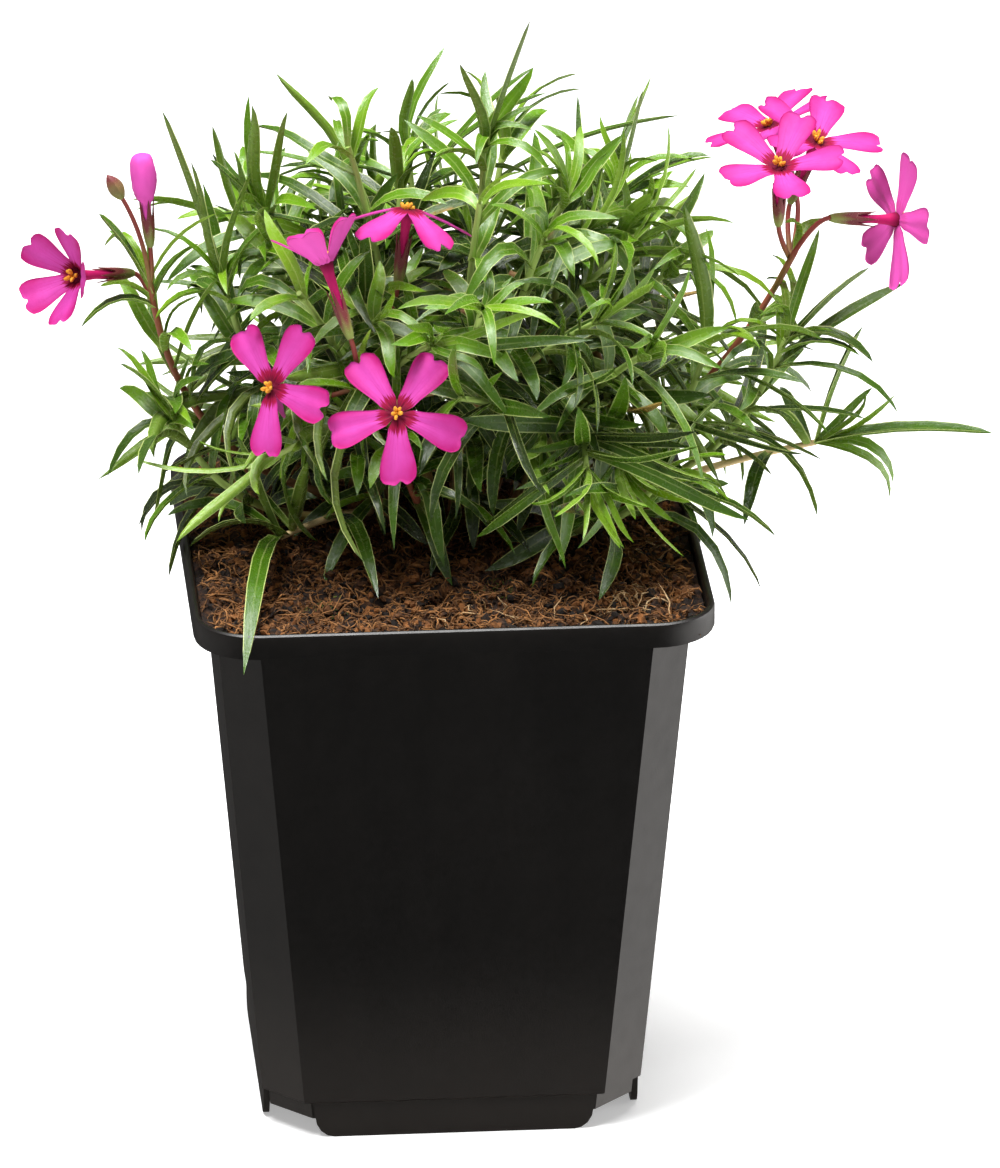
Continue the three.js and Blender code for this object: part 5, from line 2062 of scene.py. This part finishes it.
@dataclass
class Pot:
    """The square nursery pot: a tapered body with cut corners under a rounded collar."""

    finishes: Finishes
    sizes: PotSizes = POT
    per_corner: int = 10

    def _ring(self, half: float, radius: float, cut: bool, z: float) -> list[Point]:
        """Returns a square outline with round or cut corners, counter-clockwise from above.

        Args:
            half: half the width across.
            radius: the corner's radius, or how much of each side a cut takes.
            cut: whether the corner is cut off straight, with its edges just eased.
            z: the height.

        Returns:
            The points.
        """
        points: list[Point] = []
        near, edge, depth, set_back = half - radius, 0.12, 0.16, 0.9
        for quarter in range(4):
            for i in range(self.per_corner):
                t = i / (self.per_corner - 1)
                if cut:
                    eased = min(max((t - edge) / (1 - 2 * edge), 0.0), 1.0)
                    sink = depth * max(0.0, 1 - min(t, 1 - t) / (2 * edge))
                    lean = 0.4 if t < 0.5 else -0.4
                    x, y = mix(half, near, eased) - sink * lean, mix(near, half, eased) + sink * lean
                    if t in (0, 1):
                        x, y = (near - set_back, half) if t else (half, near - set_back)
                else:
                    x, y = (near + share for share in polar(radius, t * pi / 2))
                points.append((*turned(x, y, quarter), z))
        return points

    def _round(self, radius: float, z: float) -> list[Point]:
        """Returns a circle with as many points as the outline, in line with them."""
        count = self.per_corner
        places = [q + i / count for q in range(4) for i in range(count)]
        return [(*polar(radius, (place + 0.05) * pi / 2), z) for place in places]

    def _shell(self) -> Mesh:
        """Makes the pot's shell in rings, from its pad up the outside and down the inside.

        Returns:
            The shell's mesh, without drainage holes.
        """
        s = self.sizes
        low, step = s.base_level, s.height - s.rim_depth
        foot, h, wall = s.body_half(low), s.rim_half, s.rim_half - s.rim_wall
        outside = [
            (foot - 2.6, low - 3.6), (foot - 1.5, low - 3.4), (foot - 1.2, low - 0.1),
            (foot - 0.3, low), (foot, low + 0.3),
        ]
        for i in range(1, 9):
            z = mix(low + 0.3, step - 0.5, i / 8)
            outside.append((s.body_half(z), z))
        outside.append((s.body_half(step) + 0.25, step - 0.1))
        collar = (
            (h - 0.7, step), (h - 0.2, step + 0.12), (h, step + 0.6), (h, s.height - 0.75),
            (h - 0.15, s.height - 0.25), (h - 0.5, s.height), (h - 0.95, s.height - 0.04),
            (wall, s.height - 0.5), (wall - 0.05, s.ledge + 0.4), (wall - 0.4, s.ledge),
        )
        inside = (s.ledge, s.ledge - 0.6, 60.0, low + s.wall + 0.8)
        rings = [self._round(0.05, 0.0), self._round(s.pad_radius - 0.5, 0.0)]
        rings += [self._round(s.pad_radius, 0.15), self._round(s.dish_radius, low - 0.1)]
        rings += [self._ring(half, s.chamfer, True, z) for half, z in outside]
        rings += [self._ring(half, s.rim_corner - (h - half), False, z) for half, z in collar]
        rings += [self._ring(s.body_half(z) - s.wall, s.chamfer - 0.7, True, z) for z in inside]
        rings.append(self._round(s.dish_radius - 0.6, low + s.wall))
        rings += [self._round(radius, s.wall) for radius in (s.pad_radius - 0.6, 0.05)]
        points = [p for ring in rings for p in ring]
        faces = capped(4 * self.per_corner, len(rings))
        return make_mesh("pot_shell", points, faces, uvs=[(0.0, 0.0)] * len(points))

    def _skirt(self, quarter: int) -> Mesh:
        """Makes one thin foot along a side, with its lower corners rounded.

        Args:
            quarter: the side, counted round from the front.

        Returns:
            The foot's mesh.
        """
        s = self.sizes
        half, top, out = s.skirt_length / 2, s.base_level + 0.7, s.skirt_out
        outline = [(-half, top), (-half + 0.6, 4.0)]
        outline += [
            (mix(-half + 0.6, -half + 4, 1 - cos(a)), 4.0 * (1 - sin(a)))
            for a in (0.4, 0.8, 1.2, pi / 2)
        ]
        outline += [(-x, z) for x, z in reversed(outline)]
        depths = (-out, -out + s.skirt_thick)
        points = [(*turned(x, y, quarter), z) for y in depths for x, z in outline]
        n = len(outline)
        faces: Faces = [tuple(range(n)), tuple(reversed(range(n, 2 * n)))]
        faces += [(i, n + i, n + (i + 1) % n, (i + 1) % n) for i in range(n)]
        return make_mesh("pot_skirt", points, faces, uvs=[(0.0, 0.0)] * len(points))

    def build(self) -> Object:
        """Makes the pot, with its drainage holes cut through.

        Returns:
            The finished piece.
        """
        s = self.sizes
        shell = dressed(self._shell(), self.finishes.pot)
        drill = Shape()
        for x in (-s.drain_place, s.drain_place):
            for y in (-s.drain_place, s.drain_place):
                middle = Flower((x, y, s.base_level + 0.5), UP)
                drill.add(*lathe(middle, ((-4, s.drain_radius), (4, s.drain_radius)), 24))
        drills = link("drills", drill.mesh("drills"))
        cut = shell.modifiers.new("drain_holes", "BOOLEAN")
        cut.operation, cut.solver, cut.object = "DIFFERENCE", "EXACT", drills
        parts = [link("pot_body", evaluated(shell))]
        drop(shell)
        drop(drills)
        parts += [dressed(self._skirt(quarter), self.finishes.pot) for quarter in range(4)]
        piece = join("nursery_pot", parts)
        piece.data.set_sharp_from_angle(angle=radians(32))
        return keep(piece, "pot", "pot")


@dataclass(frozen=True)
class Litter:
    """One kind of small piece that lies on the peat, and how it is strewn."""

    piece: Object
    density: float
    smallest: float
    largest: float
    sink: float
    upright: float
    seed: int
    finish: Material


@dataclass
class Soil:
    """Fibrous peat in the pot, with crumbs, fibres, rootlets and a little moss on it."""

    finishes: Finishes
    strewn: GeometryTree
    cells: int = 110
    half: float = POT.soil_half - 0.05
    corner: float = 9.4
    bottom: float = 8.2
    lump_height: float = 2.5
    lump_scale: float = 0.33
    grit_scale: float = 0.9
    settled: float = 0.4
    littered_half: float = 42.0
    patched_half: float = 38.0
    moss: tuple[Point, ...] = ((8, -24, 5), (-22, -30, 4), (30, 30, 7), (-34, 24, 6))
    roots: tuple[Point, ...] = ((33, -33, 12), (3, -37, 7), (22, -38, 6), (38, -8, 6))

    def _height(self, x: float, y: float) -> float:
        """Returns the height of the peat with its lumps, which are lower at the collar."""
        place = Vector((x, y, 0.0))
        lumps = self.lump_height * noise.fractal(place * self.lump_scale, 0.8, 2.1, 4)
        rough = lumps + noise.noise(place * self.grit_scale) - self.settled
        edge = max(abs(x), abs(y)) / POT.soil_half
        return soil_height(x, y) + rough * (1 - 0.45 * edge**6)

    def _inside(self, x: float, y: float) -> Pair:
        """Draws a point of the square in to the rounded outline of the collar.

        Args:
            x: the place across.
            y: the place in depth.

        Returns:
            The point's new place.
        """
        near = self.half - self.corner
        over_x, over_y = abs(x) - near, abs(y) - near
        if min(over_x, over_y) > 0:
            k = max(over_x, over_y) / hypot(over_x, over_y)
            x, y = copysign(near + over_x * k, x), copysign(near + over_y * k, y)
        return x, y

    def _surface(self) -> Mesh:
        """Makes the peat's body: a lumpy top over a block that fills the pot.

        Returns:
            The mesh.
        """
        n, row = self.cells, self.cells + 1
        points: list[Point] = []
        for j in range(row):
            for i in range(row):
                x, y = (mix(-self.half, self.half, k / n) for k in (i, j))
                x, y = self._inside(x, y)
                points.append((x, y, self._height(x, y)))
        faces = rings_to_faces(row, row, closed=False)
        edge = [*range(row), *(j * row + n for j in range(1, row))]
        edge += [*(n * row + i for i in range(n - 1, -1, -1)), *(j * row for j in range(n - 1, 0, -1))]
        start, count = len(points), len(edge)
        for z in (POT.ledge + 0.35, POT.ledge - 0.4, self.bottom):
            limit = POT.body_half(z) - POT.wall - 0.5
            cut = 2 * limit - POT.chamfer
            for x, y, _ in [points[index] for index in edge]:
                fit = min(1.0, limit / max(abs(x), abs(y)), cut / (abs(x) + abs(y)))
                fit = 1.0 if z > POT.ledge else fit
                points.append((x * fit, y * fit, z))
        for i in range(count):
            j = (i + 1) % count
            faces.append((edge[j], edge[i], start + i, start + j))
            for above in (start, start + count):
                below = above + count
                faces.append((above + j, above + i, below + i, below + j))
        faces.append(tuple(start + 2 * count + i for i in reversed(range(count))))
        marks = {"chance": [0.5] * len(points)}
        return make_mesh("peat_body", points, faces, marks, [(0.0, 0.0)] * len(points))

    @staticmethod
    def _crumb(seed: int) -> Object:
        """Returns a lump of peat about 1 mm across, its bumps set by the seed."""
        bpy.ops.mesh.primitive_ico_sphere_add(subdivisions=1, radius=0.5 * MM)
        made = bpy.context.active_object
        for vertex in made.data.vertices:
            shift = noise.noise(vertex.co / MM * 1.7 + Vector((seed * 7.3, 0, 0)))
            vertex.co *= 1 + 0.7 * shift
            vertex.co.z *= 0.75
        made.name = f"crumb_{seed}"
        made.hide_render = True
        return made

    @staticmethod
    def _strand(name: str, length: float, radius: float, curl: float, seed: int) -> Object:
        """Makes a thin curved strand that lies along the ground.

        Args:
            name: the help object's name.
            length: from end to end, in millimetres.
            radius: at its middle.
            curl: how far it winds.
            seed: sets its bends.

        Returns:
            The strand, as a help object.
        """
        draw = Draws(seed)
        steps, around = 4, 3
        step, heading, pitch = length / steps, 0.0, 0.25
        line: list[Point] = []
        place = (0.0, 0.0, 0.0)
        for _ in range(steps + 1):
            line.append(place)
            heading += curl * draw.between(-1, 1)
            pitch -= 0.09 + 0.1 * draw.between(-1, 1)
            x, y = polar(step, heading)
            place = plus(place, (x * cos(pitch), y * cos(pitch), step * sin(pitch)))
        middle = times(plus(line[0], line[-1]), 0.5)
        points, uvs = [], []
        for i, centre in enumerate(line):
            slope = unit(plus(line[min(i + 1, steps)], line[max(i - 1, 0)], -1))
            u = unit(cross(slope, UP))
            v = cross(slope, u)
            r = radius * (1 - 0.75 * abs(2 * i / steps - 1) ** 2)
            for k in range(around):
                x, y = polar(r, k / around * tau)
                point = plus(centre, plus(times(u, x), v, y))
                points.append(plus(point, (middle[0], middle[1], 0.0), -1))
                uvs.append((k / around, i / steps))
        marks = {"chance": [0.5] * len(points)}
        return link(name, make_mesh(name, points, capped(around, steps + 1), marks, uvs), helper=True)

    @staticmethod
    def _ground(mesh: Mesh, half: float, spots: Sequence[Point] = ()) -> Object:
        """Takes the level faces of a mesh to strew things on.

        Args:
            mesh: the mesh.
            half: how far out from the middle they may lie.
            spots: the x, y and radius of round spots that they lie in, if not just anywhere.

        Returns:
            The faces, as a help object.
        """
        faces = []
        for face in mesh.polygons:
            x, y = face.center.x / MM, face.center.y / MM
            near = not spots or any(hypot(x - a, y - b) < radius for a, b, radius in spots)
            if near and face.normal.z > 0.3 and max(abs(x), abs(y)) < half:
                faces.append(tuple(face.vertices))
        points = [tuple(c / MM for c in vertex.co) for vertex in mesh.vertices]
        return link("ground", make_mesh("ground", points, faces))

    def _strew(self, ground: Object, *kinds: Litter) -> list[Object]:
        """Strews small pieces over some ground.

        Args:
            ground: the faces that they lie on.
            kinds: the kinds of piece, each of which is used up.

        Returns:
            An object for each kind.
        """
        grown = []
        for kind in kinds:
            mesh = self.strewn.grow(
                ground, Piece=kind.piece, Density=kind.density, Smallest=kind.smallest,
                Largest=kind.largest, Sink=kind.sink, Upright=kind.upright, Seed=kind.seed,
                Finish=kind.finish,
            )
            grown.append(link("strewn", mesh))
            drop(kind.piece)
        return grown

    def build(self) -> Object:
        """Makes the peat, and the fibres and rootlets as a piece of their own.

        Returns:
            The finished piece of peat.
        """
        f, strand = self.finishes, self._strand
        body = dressed(self._surface(), f.peat)
        top = self._ground(body.data, self.littered_half)
        mossy = self._ground(body.data, self.patched_half, self.moss)
        rooted = self._ground(body.data, self.patched_half, self.roots)
        lumps = self._strew(
            top,
            Litter(self._crumb(1), 3.0e5, 0.6, 2.6, -0.0002, 0.4, 1, f.crumb),
            Litter(self._crumb(2), 2.2e5, 0.5, 1.8, 0.0003, 0.4, 2, f.crumb),
        )
        sprig = strand("moss_sprig", 1.3, 0.16, 0.5, 21)
        lumps += self._strew(mossy, Litter(sprig, 2.2e6, 0.4, 1.0, 0.0, 0.1, 8, f.moss))
        threads = self._strew(
            top,
            Litter(strand("fibre_a", 4.6, 0.17, 1.2, 4), 2.2e5, 0.5, 1.4, 0.0004, 0.55, 3, f.fibre),
            Litter(strand("fibre_b", 2.8, 0.22, 1.6, 9), 3.0e5, 0.5, 1.4, 0.0002, 0.4, 4, f.fibre),
            Litter(strand("fibre_c", 6, 0.12, 1.3, 14), 8e4, 0.6, 1.3, 0.0006, 0.7, 9, f.fibre),
        )
        threads += self._strew(
            rooted,
            Litter(strand("rootlet_a", 8, 0.16, 1.2, 12), 3e4, 0.6, 1.3, 0.0007, 0.85, 5, f.rootlet),
            Litter(strand("rootlet_b", 4.5, 0.13, 1.5, 17), 5e4, 0.6, 1.4, 0.0006, 0.8, 6, f.rootlet),
        )
        for ground in (top, mossy, rooted):
            drop(ground)
        keep(join("peat_fibres", threads), "soil", "soil")
        return keep(join("peat_soil", [body, *lumps]), "soil", "soil")


def hair_cone() -> Object:
    """Returns one hair, 0.45 mm long, that stands along its own Z."""
    points = [(*polar(0.022, k * tau / 3), 0.0) for k in range(3)]
    points.append((0.0, 0.0, 0.45))
    faces = [(0, 1, 3), (1, 2, 3), (2, 0, 3), (2, 1, 0)]
    return link("hair", make_mesh("hair", points, faces), helper=True)


# ---- Camera, floor and light ----


@dataclass(frozen=True)
class Studio:
    """A pale floor under soft light, seen from in front and above."""

    target: Point = (10.6, 0.0, 89.9)
    azimuth: float = -4.578
    elevation: float = 22.342
    distance: float = 2357.7
    lens: float = 416.05

    def build(self) -> None:
        """Makes the camera, the floor, the lights and the sky."""
        a, e = radians(self.azimuth), radians(self.elevation)
        back = Vector((sin(a) * cos(e), -cos(a) * cos(e), sin(e)))
        data = bpy.data.cameras.new("camera")
        data.lens, data.sensor_width = self.lens, 36.0
        data.clip_start, data.clip_end = 0.1, 100.0
        camera = link("camera", data)
        camera.rotation_mode = "QUATERNION"
        camera.location = Vector(self.target) * MM + back * self.distance * MM
        camera.rotation_quaternion = (-back).to_track_quat("-Z", "Y")
        bpy.context.scene.camera = camera
        self._floor()
        self._area("key", (-0.35, -0.3, 1.4), 0.4, 23.0)
        self._area("over", (0.2, 0.1, 1.5), 0.6, 24.0)
        self._area("side", (1.2, 0.1, 0.3), 0.6, 5.0)
        self._sky()
        bpy.context.scene.view_settings.view_transform = "Standard"

    @staticmethod
    def _sky() -> None:
        """Makes the surroundings: even above, and below only a pale card on each side."""
        world = bpy.data.worlds.new("sky")
        world.use_nodes = True
        wires = Wiring(world.node_tree)
        way = wires.node("ShaderNodeSeparateXYZ", {0: wires.out("ShaderNodeTexCoord")}).outputs
        above = wires.number("GREATER_THAN", way[2], 0.0)
        right = wires.out("ShaderNodeMapRange", {0: way[0], 1: 0.4, 2: 0.95, 3: 0.08, 4: 2.3})
        left = wires.out("ShaderNodeMapRange", {0: way[0], 1: -0.4, 2: -0.9, 3: 0.0, 4: 0.35})
        below = wires.times(wires.number("SUBTRACT", 1.0, above), wires.plus(right, left))
        background = world.node_tree.nodes["Background"]
        background.inputs[0].default_value = (1.0, 0.97, 0.94, 1.0)
        world.node_tree.links.new(wires.plus(wires.times(above, 0.2), below), background.inputs[1])
        bpy.context.scene.world = world

    @staticmethod
    def _floor() -> None:
        """Makes the floor, which glows a little and isn't mirrored in the pot."""
        white, grey = (1.0, 1.0, 1.0, 1.0), (0.86, 0.86, 0.86, 1.0)
        f = Finish(
            "floor", Roughness=0.8, Base_Color=grey, Emission_Color=white, Emission_Strength=0.37
        )
        size = 9000.0
        corners = [(*turned(size, size, quarters), 0.0) for quarters in (2, 3, 0, 1)]
        floor = dressed(make_mesh("floor", corners, [(0, 1, 2, 3)]), f.material)
        floor.visible_glossy = False

    @staticmethod
    def _area(name: str, place: Point, size: float, watts: float) -> None:
        """Makes one soft light that faces the plant.

        Args:
            name: its name.
            place: where it stands, in metres.
            size: its width, in metres.
            watts: its power.
        """
        data = bpy.data.lights.new(name, "AREA")
        data.size, data.energy = size, watts
        lamp = link(name, data)
        lamp.location = place
        lamp.rotation_mode = "QUATERNION"
        aim = Vector((0.0, 0.0, 0.12)) - Vector(place)
        lamp.rotation_quaternion = aim.to_track_quat("-Z", "Y")
        lamp.visible_camera = False


def main() -> None:
    """Builds the plant, its pot and its studio."""
    logging.basicConfig(level=logging.INFO, format="%(name)s: %(message)s")
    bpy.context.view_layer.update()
    Studio().build()
    finishes = Finishes()
    shoot, strewn = shoot_tree(), scatter_tree()
    blade, hair = Blade().build(), hair_cone()
    Pot(finishes).build()
    Soil(finishes, strewn).build()
    for number, stem in enumerate(all_stems()):
        LeafyStem(stem, number, finishes, blade, shoot, strewn, hair).build()
    for name, flower in FLOWERS.items():
        Corolla(name, flower, finishes).build()
        Anthers(name, flower, finishes).build()
    PinkBud(finishes).build()
    drop(blade)
    drop(hair)
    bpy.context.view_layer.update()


if __name__ == "__main__":
    main()
